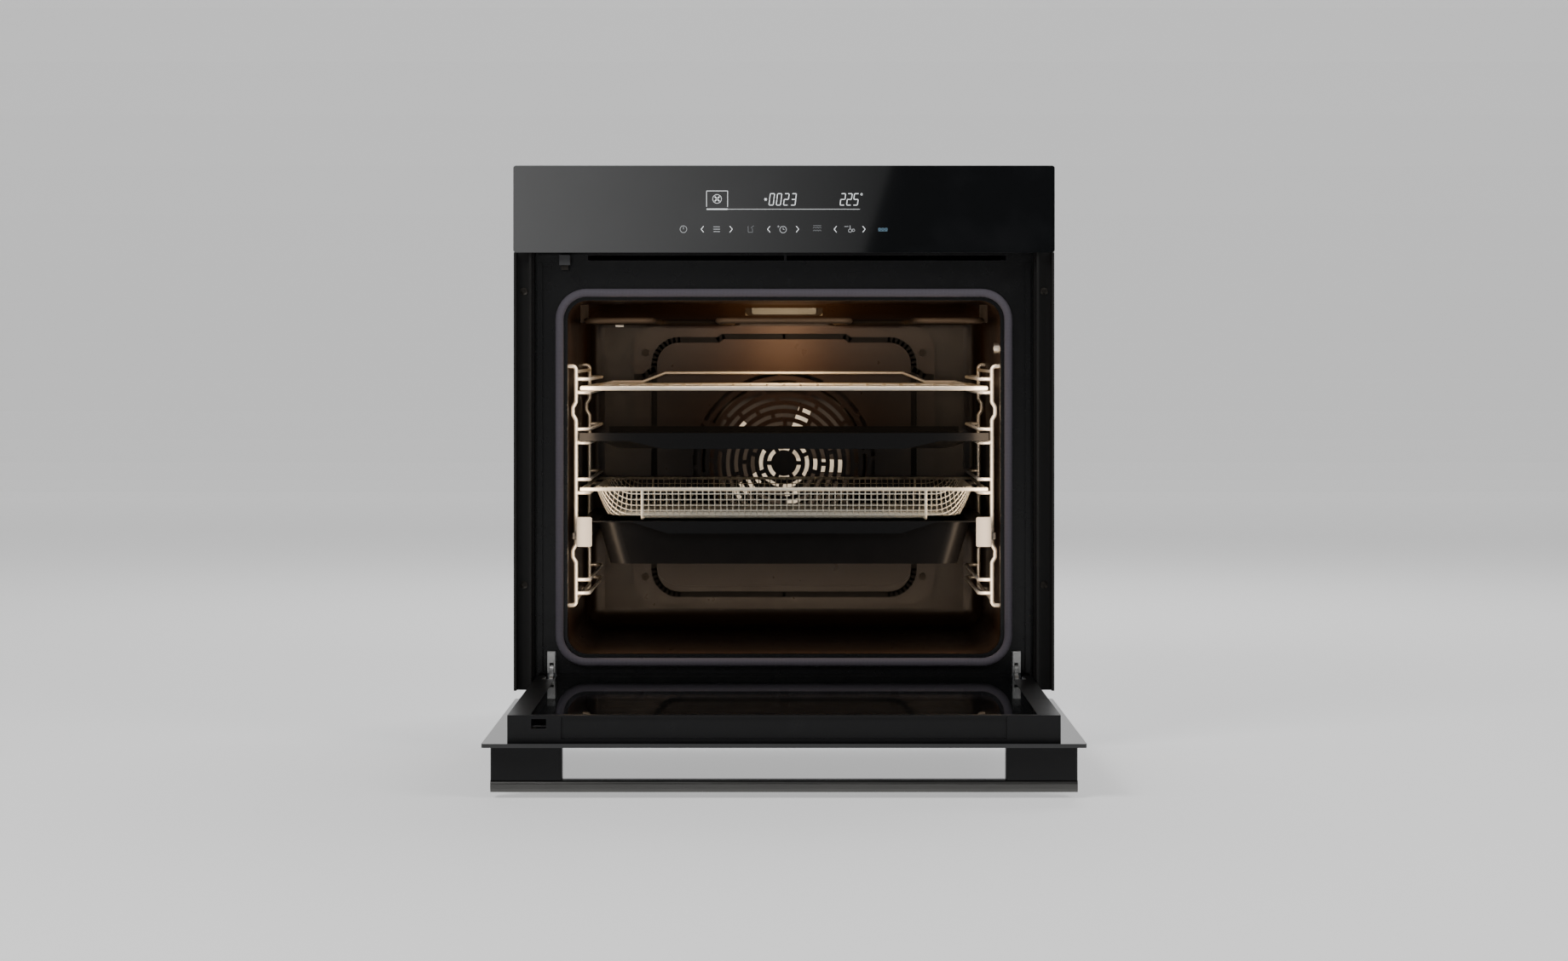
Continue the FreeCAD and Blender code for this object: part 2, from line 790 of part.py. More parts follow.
def slot_ring(index):
    """One broken ring of air slots: a tube less the bridges that cross it."""
    name = f"slot_ring_{index}"
    radius = f"slot_first + {index} * slot_pitch"
    start = (0, "-cover_sheet", 0)
    outer = rod(f"{name}_outer", "y", start, "3 * cover_sheet", f"{radius} + slot_width / 2")
    inner = rod(f"{name}_inner", "y", start, "3 * cover_sheet", f"{radius} - slot_width / 2")
    bridges = 3 + index // 3
    step = 180 / bridges
    bars = []
    for turn in range(bridges):
        bar = box(f"{name}_bar_{turn}", (f"-({radius}) - slot_width", f"{radius} + slot_width"),
                  ("-2 * cover_sheet", "3 * cover_sheet"), ("-slot_bridge / 2", "slot_bridge / 2"))
        angle = step * (turn + 0.5 * (index % 2)) + 8 * index
        bars.append(turned(f"{name}_bridge_{turn}", bar, angle))
    return cut(name, outer, inner, *bars)


def fan_cover():
    """The slotted back plate: embossed border, air slots, skirts and four screw posts."""
    body = doc.addObject("PartDesign::Body", "cover_plate")
    middle = (0, "cover_face + cover_sheet", "cover_centre")
    outline = rounded_sketch(body, "cover_outline", "XZ_Plane", middle,
                             "cover_width", "cover_height", "cover_round")
    pad(body, outline, "cover_sheet")
    groove = body.newObject("Sketcher::SketchObject", "cover_border")
    attach(body, groove, "XZ_Plane", 0, "cover_face", "cover_centre")
    tall = "cover_height - cover_width + 2 * cover_groove_half"
    rounded_outline(groove, "inner", "2 * cover_groove_half - cover_groove_width",
                    f"{tall} - cover_groove_width", "cover_round")
    rounded_outline(groove, "outer", "2 * cover_groove_half + cover_groove_width",
                    f"{tall} + cover_groove_width", "cover_round + cover_groove_width")
    pocket(body, groove, "cover_groove")
    slots = group("cover_slots", *[slot_ring(index) for index in range(int(SIZES["slot_rings"]))])
    place(slots, 0, "cover_face", "fan_height")
    pierced = cut("cover_pierced", body, slots)
    reach = ("cover_face + cover_sheet / 2", "cavity_back")
    run = ("cover_round - cover_width / 2", "cover_width / 2 - cover_round")
    top = box("cover_skirt_top", run, reach,
              ("cover_centre + cover_height / 2 - cover_sheet", "cover_centre + cover_height / 2"))
    foot = box("cover_skirt_foot", run, reach,
               ("cover_centre - cover_height / 2", "cover_centre - cover_height / 2 + cover_sheet"))
    posts = []
    bores = []
    for name, out, level in COVER_SCREWS:
        posts.append(rod(f"cover_post_{name}", "y", (out, reach[0], level),
                         f"({reach[1]}) - ({reach[0]})", "cover_post"))
        bores.append(rod(f"cover_bore_{name}", "y", (out, "cover_face - 1", level),
                         "cover_proud - 4", "screw_shank + 0.1"))
    whole = fuse("cover_whole", pierced, top, foot, *posts)
    return cut("fan_cover", whole, *bores)


COVER_SCREWS = tuple(
    (f"{side}_{level}", f"{sign}cover_screw_out", f"cover_centre {step} cover_screw_spread / 2")
    for side, sign in (("right", ""), ("left", "-"))
    for level, step in (("high", "+"), ("low", "-"))
)


def cover_screws():
    """Four pan-head screws through the posts of the cover."""
    screws = []
    for name, out, level in COVER_SCREWS:
        head = rod(f"screw_head_{name}", "y", (out, "cover_face - screw_head_tall", level),
                   "screw_head_tall", "screw_head")
        shank = rod(f"screw_shank_{name}", "y", (out, "cover_face - 1", level),
                    "cover_proud - 8", "screw_shank")
        screws.append(fuse(f"cover_screw_{name}", head, shank))
    return group("fan_cover_screws", *screws)


def fan_wheel():
    """Back disc, hub, twisted blades and the shaft that runs in the motor."""
    disc = rod("wheel_disc", "y", (0, "wheel_back - 1.2", 0), 1.2, "wheel_radius * 0.42")
    hub = rod("wheel_hub", "y", (0, "wheel_back - wheel_depth", 0), "wheel_depth", "hub_radius")
    shaft = rod("wheel_shaft", "y", (0, "wheel_back - 2", 0),
                "motor_face + motor_depth - wheel_back - 6", "fan_shaft")
    pieces = [disc, hub, shaft]
    for index in range(int(SIZES["blade_count"])):
        blade = box(f"blade_{index}", (0, "wheel_radius - hub_radius + 2"), (-0.6, 0.6),
                    ("-blade_width / 2", "blade_width / 2"))
        blade.Placement = FreeCAD.Placement(Vector(), Rotation(Vector(1, 0, 0), 38))
        tilted = group(f"blade_{index}_tilted", blade)
        place(tilted, "hub_radius - 2", "wheel_back - wheel_depth / 2 - 1", 0)
        pieces.append(turned(f"blade_{index}_turned", tilted, -70 - index * 360 / SIZES["blade_count"]))
    wheel = fuse("fan_wheel", *pieces)
    return place(wheel, 0, 0, "fan_height")


def ring_heater():
    """Two heating rings round the fan wheel, with tails and a flange on the back wall."""
    centre = (0, "ring_plane", "fan_height")
    pieces = [
        ring("heater_ring_front", "y", (0, "ring_plane - 4", "fan_height"),
             "ring_heater_radius", "heater_tube"),
        ring("heater_ring_rear", "y", (0, "ring_plane + 4", "fan_height"),
             "ring_heater_radius - 1", "heater_tube"),
    ]
    level = "fan_height + ring_heater_radius"
    for name, out in (("right", "ring_tail_out"), ("left", "-ring_tail_out")):
        pieces.append(rod(f"ring_tail_{name}", "y", (out, centre[1], level),
                          "tail_end - ring_plane", "heater_tube"))
    pieces.append(box("ring_flange", ("-ring_tail_out - 8", "ring_tail_out + 8"),
                      ("cavity_back - 1.5", "cavity_back"), (f"{level} - 8", f"{level} + 8")))
    return fuse("ring_heater", *pieces)


def grill_element():
    """One heating tube laid in long loops under the ceiling, with two ceiling clips."""
    near, far = "grill_front", "grill_rear - 50"
    half = [("grill_tail_out", "tail_end"), ("grill_tail_out", "grill_rear - 20"),
            ("grill_half", "grill_rear - 20"), ("grill_half", near),
            ("grill_half - grill_pitch", near), ("grill_half - grill_pitch", far),
            ("grill_half - 2 * grill_pitch", far), ("grill_half - 2 * grill_pitch", near)]
    right = [spot(x, y, "grill_level") for x, y in half]
    left = [Vector(-point.x, point.y, point.z) for point in reversed(right)]
    tube = feature("grill_tube", bent_wire(right + left, value("grill_bend"), value("heater_tube")))
    clip = box("grill_clip_right", ("grill_half - 1", "grill_half + 8"),
               ("grill_front + 30", "grill_front + 38"),
               ("grill_level - 2", "cavity_roof - 0.17 * cavity_round"))
    flange = box("grill_flange", ("-grill_tail_out - 8", "-grill_tail_out + 8"),
                 ("cavity_back - 1.5", "cavity_back"), ("grill_level - 3.8", "grill_level"))
    return fuse("grill_element", tube, clip, mirror("grill_clip_left", clip), flange,
                mirror("grill_flange_right", flange))


def floor_heater():
    """The heating tube under the cavity floor, on two cross bars in the wool's room."""
    level = "wool_floor + wool_gap + heater_tube"
    half = [("grill_tail_out", "cavity_back - 30"), ("grill_half - 20", "cavity_back - 30"),
            ("grill_half - 20", "grill_front"), ("grill_half - 90", "grill_front"),
            ("grill_half - 90", "cavity_back - 80"), ("grill_half - 160", "cavity_back - 80"),
            ("grill_half - 160", "grill_front")]
    right = [spot(x, y, level) for x, y in half]
    left = [Vector(-point.x, point.y, point.z) for point in reversed(right)]
    tube = feature("floor_tube", bent_wire(right + left, value("grill_bend"), value("heater_tube")))
    bars = []
    for number, y in enumerate(("grill_front + 60", "cavity_back - 120")):
        bars.append(box(f"floor_bar_{number}", ("-grill_half", "grill_half"),
                        (y, f"{y} + 10"), (f"{level}", "cavity_floor - sheet_thick")))
    return fuse("floor_heater", tube, *bars)


def motor_strap():
    """The sheet strap from side to side that carries the fan motor."""
    plate = box("strap_blank", ("-skin_inner", "skin_inner"), ("strap_face", "motor_face"),
                ("fan_height - 24", "fan_height + 24"))
    hole = rod("strap_hole", "y", (0, "strap_face - 1", "fan_height"), 4, "motor_boss")
    return cut("motor_strap", plate, hole)


def fan_motor():
    """The shaded-pole motor, with a bearing boss through the strap."""
    stator = box("motor_stator", (-33, 33), ("motor_face", "motor_face + motor_depth"),
                 ("fan_height - 36", "fan_height + 30"))
    boss = rod("motor_bearing", "y", (0, "strap_face - 10", "fan_height"),
               "motor_face - strap_face + 12", "motor_boss")
    bore = rod("motor_bore", "y", (0, "strap_face - 12", "fan_height"),
               "motor_depth + 10", "fan_shaft + shaft_fit")
    return cut("fan_motor", fuse("motor_whole", stator, boss), bore)


# ---------------------------------------------------------------------------
# Cavity fittings: lamp, temperature sensor and food-probe socket
# ---------------------------------------------------------------------------

def lamp_lens():
    """The glass cover of the lamp, flush in its frame under the ceiling."""
    return slab("lamp_lens", "XZ_Plane", (0, "cavity_back", "lamp_floor + lamp_tall / 2"),
                "lamp_width - 2", "lamp_tall - 2", 3, "lamp_deep")


def lamp_frame():
    """The dark clip-on frame round the lens."""
    body = doc.addObject("PartDesign::Body", "lamp_frame")
    sketch = body.newObject("Sketcher::SketchObject", "lamp_frame_outline")
    attach(body, sketch, "XZ_Plane", 0, "cavity_back", "lamp_floor + lamp_tall / 2")
    rounded_outline(sketch, "seat", "lamp_width - 2", "lamp_tall - 2", 3)
    rounded_outline(sketch, "edge", "lamp_width + 14", "lamp_tall + 1", 5)
    pad(body, sketch, "lamp_deep - 3")
    return body


def lamp_holder():
    """The metal lamp box behind the back wall, open towards the lens."""
    x = ("4 - lamp_width / 2", "lamp_width / 2 - 4")
    y = ("back_skin", "wool_end - 2")
    blank = box("holder_blank", x, y, ("lamp_floor + 1", "lamp_floor + lamp_tall + 6"))
    hollow = box("holder_hollow", (f"{x[0]} + 1.2", f"{x[1]} - 1.2"), ("back_skin - 1", f"{y[1]} - 1.2"),
                 ("lamp_floor + 2", "lamp_floor + lamp_tall + 5"))
    return cut("lamp_holder", blank, hollow)


def lamp_bulb():
    """A small capsule lamp standing in a ceramic base."""
    level = "lamp_floor + lamp_tall / 2 + 2"
    base = box("bulb_base", (-18, -6), ("wool_end - 12", "wool_end - 3.2"), (f"{level} - 5", f"{level} + 5"))
    glass = rod("bulb_glass", "x", (-7, "wool_end - 8", level), 26, 4)
    return fuse("lamp_bulb", base, glass)


def temperature_sensor():
    """A thin probe through the back wall, held by a two-lug bracket."""
    stem = rod("sensor_stem", "y", ("-sensor_out", "cavity_back - 34", "sensor_height"),
               "wool_end - cavity_back + 44", 1.8)
    lug = ("cavity_back - 7", "cavity_back - 0.3")
    low = box("sensor_lug_low", ("-sensor_out - 4.9", "4.9 - sensor_out"), lug,
              ("sensor_height - 4.3", "sensor_height - 0.8"))
    high = box("sensor_lug_high", ("-sensor_out - 4.9", "4.9 - sensor_out"), lug,
               ("sensor_height + 0.8", "sensor_height + 4.3"))
    return fuse("temperature_sensor", stem, low, high)


def probe_socket():
    """The jack for a food probe in the right wall: collar, barrel and blind bore."""
    at = ("socket_back", "socket_height")
    collar = rod("socket_collar", "x", ("cavity_half - socket_proud", *at),
                 "socket_proud", "socket_radius")
    barrel = rod("socket_barrel", "x", ("cavity_half - 1", *at), "wool_outer - cavity_half + 5",
                 "socket_radius - 1.1")
    bore = rod("socket_bore_cut", "x", ("cavity_half - socket_proud - 1", *at),
               "wool_outer - cavity_half + 4", "socket_bore")
    return cut("probe_socket", fuse("socket_whole", collar, barrel), bore)


# ---------------------------------------------------------------------------
# Side racks and the telescopic runners
# ---------------------------------------------------------------------------

GUIDE_LEVELS = (0, 2, 3, 4)
RUNNER_LEVEL = 1


def guide_height(level):
    """Height of the lower guide wire of one shelf level."""
    return f"guide_low + {level} * guide_pitch"


def jog(y, middle):
    """Corners of one short offset of an upright toward the wall, from its top down."""
    return [("rack_upright_out", y, f"{middle} + jog_half + jog_slope"),
            ("rack_jog_out", y, f"{middle} + jog_half"),
            ("rack_jog_out", y, f"{middle} - jog_half"),
            ("rack_upright_out", y, f"{middle} - jog_half - jog_slope")]


def right_rack():
    """A welded wire ladder: two uprights hooked to the wall and a loop at each guide wire."""
    wire = value("rack_wire")
    bend = value("guide_bend")
    pieces = []
    for y in ("rack_front", "rack_rear"):
        corners = [("cavity_half", y, "rack_head"), ("rack_upright_out", y, "rack_head"),
                   *jog(y, f"{guide_height(4)} - 20.7"), *jog(y, f"{guide_height(1)} - 11.7"),
                   ("rack_upright_out", y, "rack_foot"), ("cavity_half", y, "rack_foot")]
        pieces.append(bent_wire([spot(*corner) for corner in corners], wire + 2, wire))
    for level in GUIDE_LEVELS:
        for rise in ("0", "guide_spacing"):
            height = f"{guide_height(level)} + {rise}"
            corners = [("rack_upright_out", "rack_front"), ("guide_out", "rack_front"),
                       ("guide_out", "rack_rear"), ("rack_upright_out", "rack_rear")]
            loop = [spot(x, y, height) for x, y in corners]
            pieces.append(bent_wire(loop, bend, value("guide_wire")))
    stays = []
    for height in ("rack_foot + 6", "rack_head - 6"):
        start = spot("rack_upright_out", "rack_front", height)
        length = value("rack_rear - rack_front")
        stays.append(Part.makeCylinder(value("guide_wire"), length, start, Vector(0, 1, 0)))
    return feature("right_rack", pieces[0].multiFuse(pieces[1:] + stays))


def runner_bar(name, layer):
    """One flat bar of the runner; layer 0 is the outermost."""
    outer = f"runner_outer - {layer} * (runner_layer + run_gap)"
    shift = 6 * layer
    return box(name, (f"{outer} - runner_layer", outer),
               (f"runner_front - {shift}", f"runner_rear - {shift}"),
               ("runner_floor", "runner_top"))


def runner_rail(name):
    """The fixed bar with a snap clip round each rack upright."""
    pieces = [runner_bar(f"{name}_bar", 0)]
    bores = []
    for tag, y in (("front", "rack_front"), ("rear", "rack_rear")):
        pieces.append(box(f"{name}_clip_{tag}", ("runner_outer - 0.4", "rack_upright_out + 3.4"),
                          (f"{y} - 6", f"{y} + 6"), ("runner_floor + 2", "runner_floor + 9")))
        bores.append(rod(f"{name}_clip_bore_{tag}", "z",
                         ("rack_upright_out", y, "runner_floor + 1"), 10, "rack_wire + 0.05"))
    return cut(name, fuse(f"{name}_whole", *pieces), *bores)


def runner_carriage(name):
    """The sliding bar with a ledge for the pan's flange and a flat front plate."""
    bar = runner_bar(f"{name}_bar", 2)
    inner = "runner_outer - 2 * (runner_layer + run_gap) - runner_layer"
    ledge = box(f"{name}_ledge", (inner, "pan_flange_half"), ("runner_front - 12", "runner_rear - 12"),
                ("runner_top + run_gap", "ledge_top"))
    neck = box(f"{name}_neck", (inner, f"{inner} + runner_layer"),
               ("runner_front - 12", "runner_rear - 12"), ("runner_top - 1", "ledge_top"))
    plate = slab(f"{name}_plate", "XZ_Plane",
                 ("runner_plate_inner + runner_plate_width / 2", "runner_front - 12",
                  "runner_plate_floor + runner_plate_height / 2"),
                 "runner_plate_width", "runner_plate_height", 2, 4)
    return fuse(name, bar, ledge, neck, plate)


# ---------------------------------------------------------------------------
# Accessories that slide on the racks
# ---------------------------------------------------------------------------

def seat_on(level, half_section):
    """Height of a part's middle when its underside rests over a guide wire."""
    return f"{guide_height(level)} + guide_wire + run_gap + {half_section}"


def rim_wire(name, side, depth, level, radius):
    """The bent wire down both sides and across the back of a wire accessory."""
    near, far = depth
    corners = [(side, near), (side, far), (f"-{side}", far), (f"-{side}", near)]
    route = [spot(x, y, level) for x, y in corners]
    return feature(name, bent_wire(route, value("rim_bend"), value(radius)))


def wire_shelf():
    """The wire shelf: a heavy frame, close wires from front to back and a raised rear guard."""
    plane = seat_on(4, "shelf_bar")
    side = "(shelf_half - shelf_bar)"
    depth = "tray_rear - tray_front - 2 * shelf_bar"
    near = "(tray_front + shelf_bar)"
    far = "tray_rear - shelf_bar"
    pieces = [
        rod("shelf_front_bar", "x", (f"-{side} - 1.5", near, plane), f"2 * {side} + 3", "shelf_bar"),
        rim_wire("shelf_rim", side, (near, far), plane, "shelf_rim_wire"),
    ]
    count = int(2 * value(side) // value("shelf_pitch"))
    for index in range(-(count // 2), count // 2 + 1):
        pieces.append(rod(f"shelf_wire_{index + count}", "y",
                          (f"{index} * shelf_pitch", near, plane), depth, "shelf_wire"))
    for step in (1, 2):
        pieces.append(rod(f"shelf_cross_{step}", "x",
                          (f"-{side}", f"tray_front + {step} * (tray_rear - tray_front) / 3",
                           f"{plane} - shelf_bar + shelf_wire"), f"2 * {side}", "shelf_wire"))
    low, high = f"{plane} + 4", f"{plane} + shelf_guard"
    half = [(side, plane), ("shelf_half - 22", low), ("0.75 * shelf_half", low),
            ("0.63 * shelf_half", high)]
    right = [spot(x, "tray_rear - shelf_bar", height) for x, height in half]
    left = [Vector(-point.x, point.y, point.z) for point in reversed(right)]
    pieces.append(feature("shelf_guard_wire", bent_wire(right + left, 3, value("shelf_wire"))))
    return fuse("wire_shelf", *pieces)


def basin(body, name, top, drop, halves, inset, round_top, wall):
    """Loft a tapered basin below a rim height and hollow it to its wall."""
    wide, narrow = halves
    slope = f"({wide} - {narrow})"
    middle = "(tray_front + tray_rear) / 2"
    length = f"(tray_rear - tray_front - 2 * ({inset}))"

    def section(height, half, shrink, trim):
        return ((0, middle, height), f"2 * ({half} - {trim})", f"{length} - 2 * ({shrink} + {trim})",
                f"{round_top} - {trim}")

    loft(body, "PartDesign::AdditiveLoft", f"{name}_skin", "XY_Plane",
         [section(f"{top} - {drop}", narrow, slope, 0), section(top, wide, 0, 0)])
    loft(body, "PartDesign::SubtractiveLoft", f"{name}_inside", "XY_Plane",
         [section(f"{top} - {drop} + {wall}", narrow, slope, wall),
          section(f"{top} + 0.01", wide, 0, wall)])


def front_lip(name, half, top, deep, ramp, y):
    """A sheet lip across the front whose middle hangs lower than its ends."""
    outline = [(f"-{half}", top), (half, top), (half, deep[0]), (ramp[1], deep[0]),
               (ramp[0], deep[1]), (f"-{ramp[0]}", deep[1]), (f"-{ramp[1]}", deep[0]),
               (f"-{half}", deep[0])]
    points = [spot(x, y, z) for x, z in outline]
    face = Part.Face(Part.makePolygon(points + points[:1]))
    return feature(name, face.extrude(Vector(0, value("tray_sheet"), 0)))


def baking_tray():
    """The shallow enamelled tray with a flange over the guides and a dropped front lip."""
    under = seat_on(3, 0)
    top = f"{under} + tray_sheet"
    body = doc.addObject("PartDesign::Body", "tray_pressing")
    middle = (0, "(tray_front + tray_rear) / 2", under)
    flange = rounded_sketch(body, "tray_flange", "XY_Plane", middle,
                            "2 * tray_flange_half", "tray_rear - tray_front", 8)
    pad(body, flange, "tray_sheet")
    basin(body, "tray", top, "tray_drop", ("tray_top_half", "tray_foot_half"), 9, 26,
          "tray_sheet")
    rim_top = f"{under} + tray_lip"
    lip = front_lip("tray_front_lip", "tray_flange_half", rim_top, (under, f"{under} - 9"),
                    ("0.59 * tray_flange_half", "0.76 * tray_flange_half"), "tray_front")
    rear = box("tray_rear_lip", ("-tray_top_half", "tray_top_half"),
               ("tray_rear - tray_sheet", "tray_rear"), (under, rim_top))
    return fuse("baking_tray", body, lip, rear)


def basket_mesh():
    """The tapered mesh basket, as one closed skin that is open at the top."""
    level = seat_on(2, "basket_bar")
    body = doc.addObject("PartDesign::Body", "basket_mesh")
    basin(body, "basket", f"{level} + basket_bar", "basket_drop",
          ("basket_top_half", "basket_foot_half"), 12, 20, "basket_skin")
    return body


def basket_frame():
    """The bar frame of the basket, with cradle wires under the mesh."""
    level = seat_on(2, "basket_bar")
    side = "(basket_half - basket_bar)"
    near, far = "(tray_front + basket_bar)", "(tray_rear - basket_bar)"
    pieces = []
    pieces.append(rod("basket_front_bar", "x", (f"-{side} - 1.5", near, level), f"2 * {side} + 3",
                      "basket_bar"))
    pieces.append(rim_wire("basket_rim", side, (near, far), level, "basket_rim_wire"))
    foot = f"{level} + basket_bar - basket_drop - basket_cradle"
    cradle = value("basket_cradle")
    for number, out in enumerate(("basket_cradle_out", "-basket_cradle_out")):
        corners = [(out, near, level), (out, near, foot), (out, far, foot), (out, far, level)]
        route = [spot(*corner) for corner in corners]
        pieces.append(feature(f"basket_cradle_{number}", bent_wire(route, 7, cradle)))
    for end, y in (("front", f"{near} + 40"), ("rear", f"{far} - 40")):
        pieces.append(rod(f"basket_cross_{end}", "x", ("-basket_cradle_out", y, foot),
                          "2 * basket_cradle_out", cradle))
    return fuse("basket_frame", *pieces)


def roasting_pan():
    """The deep enamelled pan whose flange lies on the runner ledges."""
    under = "ledge_top"
    top = f"{under} + tray_sheet"
    body = doc.addObject("PartDesign::Body", "pan_pressing")
    near = "(runner_front - 10)"
    middle = (0, f"({near} + tray_rear) / 2", under)
    flange = rounded_sketch(body, "pan_flange", "XY_Plane", middle,
                            "2 * pan_flange_half", f"tray_rear - {near}", 6)
    pad(body, flange, "tray_sheet")
    basin(body, "pan", top, "pan_drop", ("pan_top_half - 1", "pan_foot_half - 1"), 7, 24,
          "tray_sheet")
    lip = front_lip("pan_front_lip", "pan_top_half", f"{top}", (under, f"{under} - 12.5"),
                    ("0.62 * pan_top_half", "0.81 * pan_top_half"), f"{near} - 3")
    shelf = box("pan_front_shelf", ("-pan_top_half", "pan_top_half"), (f"{near} - 3", f"{near} + 8"),
                (under, top))
    well = slab("pan_front_well", "XY_Plane", (0, "(tray_front + tray_rear) / 2", f"{under} - 1"),
                "2 * (pan_top_half - 1 - tray_sheet)", "tray_rear - tray_front - 14 - 2 * tray_sheet",
                "24 - tray_sheet", 4)
    return cut("roasting_pan", fuse("pan_whole", body, lip, shelf), well)


# ---------------------------------------------------------------------------
# Top compartment: air duct, blower, boards, terminal box and door lock
# ---------------------------------------------------------------------------

def air_duct():
    """A flat sheet duct from the blower to the slots in the frame."""
    z = ("duct_floor", "duct_floor + duct_height")
    blank = box("duct_blank", ("-duct_left", "duct_right"), ("frame_back", "duct_rear"), z)
    hollow = box("duct_hollow", ("sheet_thick - duct_left", "duct_right - sheet_thick"),
                 ("frame_back - 1", "duct_rear - sheet_thick"),
                 (f"{z[0]} + sheet_thick", f"{z[1]} - sheet_thick"))
    mouth = box("duct_mouth", ("-blower_radius", "blower_radius"), ("duct_rear - 3", "duct_rear + 1"),
                (f"{z[0]} + 3", f"{z[1]} - 3"))
    return cut("air_duct", blank, hollow, mouth)


def blower_housing():
    """The blower's square case, open to the duct and at the top inlet."""
    x = ("-blower_radius - 12", "blower_radius + 12")
    y = ("duct_rear", "blower_back + blower_radius + 12")
    z = ("duct_floor", "duct_floor + blower_tall + 4")
    blank = box("blower_blank", x, y, z)
    hollow = box("blower_hollow", (f"{x[0]} + sheet_thick", f"{x[1]} - sheet_thick"),
                 (f"{y[0]} + sheet_thick", f"{y[1]} - sheet_thick"),
                 (f"{z[0]} + sheet_thick", f"{z[1]} - sheet_thick"))
    mouth = box("blower_mouth", ("-blower_radius", "blower_radius"), ("duct_rear - 1", "duct_rear + 3"),
                ("duct_floor + 3", "duct_floor + duct_height - 3"))
    eye = rod("blower_eye", "z", (0, "blower_back", f"{z[1]} - 3"), 6, "0.68 * blower_radius")
    return cut("blower_housing", blank, hollow, mouth, eye)


def blower_wheel():
    """A radial wheel with its shaft up into the motor."""
    floor = "duct_floor + 4"
    disc = rod("blower_disc", "z", (0, "blower_back", floor), 1.2, "blower_radius")
    hub = rod("blower_hub", "z", (0, "blower_back", floor), 14, 9)
    shaft = rod("blower_shaft", "z", (0, "blower_back", floor),
                "blower_tall + 4 + 20", "fan_shaft - 1")
    pieces = [disc, hub, shaft]
    for index in range(12):
        vane = box(f"vane_{index}", ("0.62 * blower_radius", "blower_radius - 0.5"), (-0.6, 0.6),
                   (0, "blower_tall - 10"))
        spun = group(f"vane_{index}_turned", vane)
        spun.Placement = FreeCAD.Placement(Vector(), Rotation(Vector(0, 0, 1), index * 30))
        place(spun, 0, "blower_back", floor)
        pieces.append(spun)
    return fuse("blower_wheel", *pieces)


def blower_motor():
    """The blower's motor on a three-armed bridge over the inlet."""
    roof = "duct_floor + blower_tall + 4"
    drum = rod("blower_drum", "z", (0, "blower_back", f"{roof} + 2"), 30, 26)
    bar = box("blower_bridge", ("-0.9 * blower_radius", "0.9 * blower_radius"),
              ("blower_back - 8", "blower_back + 8"), (f"{roof}", f"{roof} + 3"))
    bore = rod("blower_bore", "z", (0, "blower_back", f"{roof} - 1"), 27,
               "fan_shaft - 1 + shaft_fit")
    return cut("blower_motor", fuse("blower_motor_whole", drum, bar), bore)


def panel_glass():
    """The black glass of the control panel."""
    return slab("panel_glass", "XZ_Plane", (0, "glass_back", "front_top - panel_height / 2"),
                "front_width", "panel_height", "glass_round", "glass_thick")


def panel_carrier():
    """The moulded carrier behind the panel glass, with the display window."""
    z = ("carrier_floor", "roof_under")
    blank = box("carrier_blank", ("-body_half", "body_half"), ("glass_back", "frame_back"), z)
    hollow = box("carrier_hollow", ("3 - body_half", "body_half - 3"),
                 ("glass_back + 3", "frame_back + 1"), (f"{z[0]} + 3", f"{z[1]} - 3"))
    sight = box("carrier_window", (-120, 120), ("glass_back - 1", "glass_back + 4"),
                (f"{z[0]} + 20", f"{z[1]} - 10"))
    return cut("panel_carrier", blank, hollow, sight)


def display_board():
    """The touch and display board, laid on the inside of the carrier's face."""
    board = box("display_blank", (-135, 135), ("glass_back + 3", "glass_back + 4.6"),
                ("carrier_floor + 12", "roof_under - 6"))
    screen = box("display_screen", (-110, 110), ("glass_back + 0.2", "glass_back + 3"),
                 ("carrier_floor + 24", "roof_under - 14"))
    return fuse("display_board", board, screen)


def power_board():
    """The relay board on four posts over the duct, with its larger components."""
    deck = "duct_floor + duct_height"
    board = box("power_blank", (70, 240), (70, 200), (f"{deck} + 8", f"{deck} + 9.6"))
    pieces = [board]
    for number, (x, y) in enumerate(((78, 78), (232, 78), (78, 192), (232, 192))):
        pieces.append(rod(f"power_post_{number}", "z", (x, y, deck), 9, 3))
    for number in range(4):
        x = 88 + 30 * number
        pieces.append(box(f"relay_{number}", (x, x + 20), (90, 106), (f"{deck} + 9", f"{deck} + 26")))
    pieces.append(box("transformer", (170, 215), (130, 170), (f"{deck} + 9", f"{deck} + 38")))
    return fuse("power_board", *pieces)


def terminal_box():
    """The mains terminal box and the gland where a cable enters."""
    blank = box("terminal_blank", ("-inlet_out - 30", "30 - inlet_out"),
                ("rear_face - 46", "rear_face"), ("inlet_height - 20", "inlet_height + 20"))
    hollow = box("terminal_hollow", ("-inlet_out - 28", "28 - inlet_out"),
                 ("rear_face - 44", "rear_face - 2"), ("inlet_height - 18", "inlet_height + 18"))
    at = ("-inlet_out", "rear_face - 3", "inlet_height")
    gland = rod("gland_barrel", "y", at, 16, "inlet_bore - 0.2")
    bore = rod("gland_bore", "y", at, 20, "cable_bore")
    tray = box("terminal_tray", ("-inlet_out - 20", "20 - inlet_out"),
               ("rear_face - 44", "rear_face - 30"), ("inlet_height - 18", "inlet_height - 4"))
    shell = cut("terminal_shell", blank, hollow)
    return cut("terminal_box", fuse("terminal_whole", shell, gland, tray), bore)


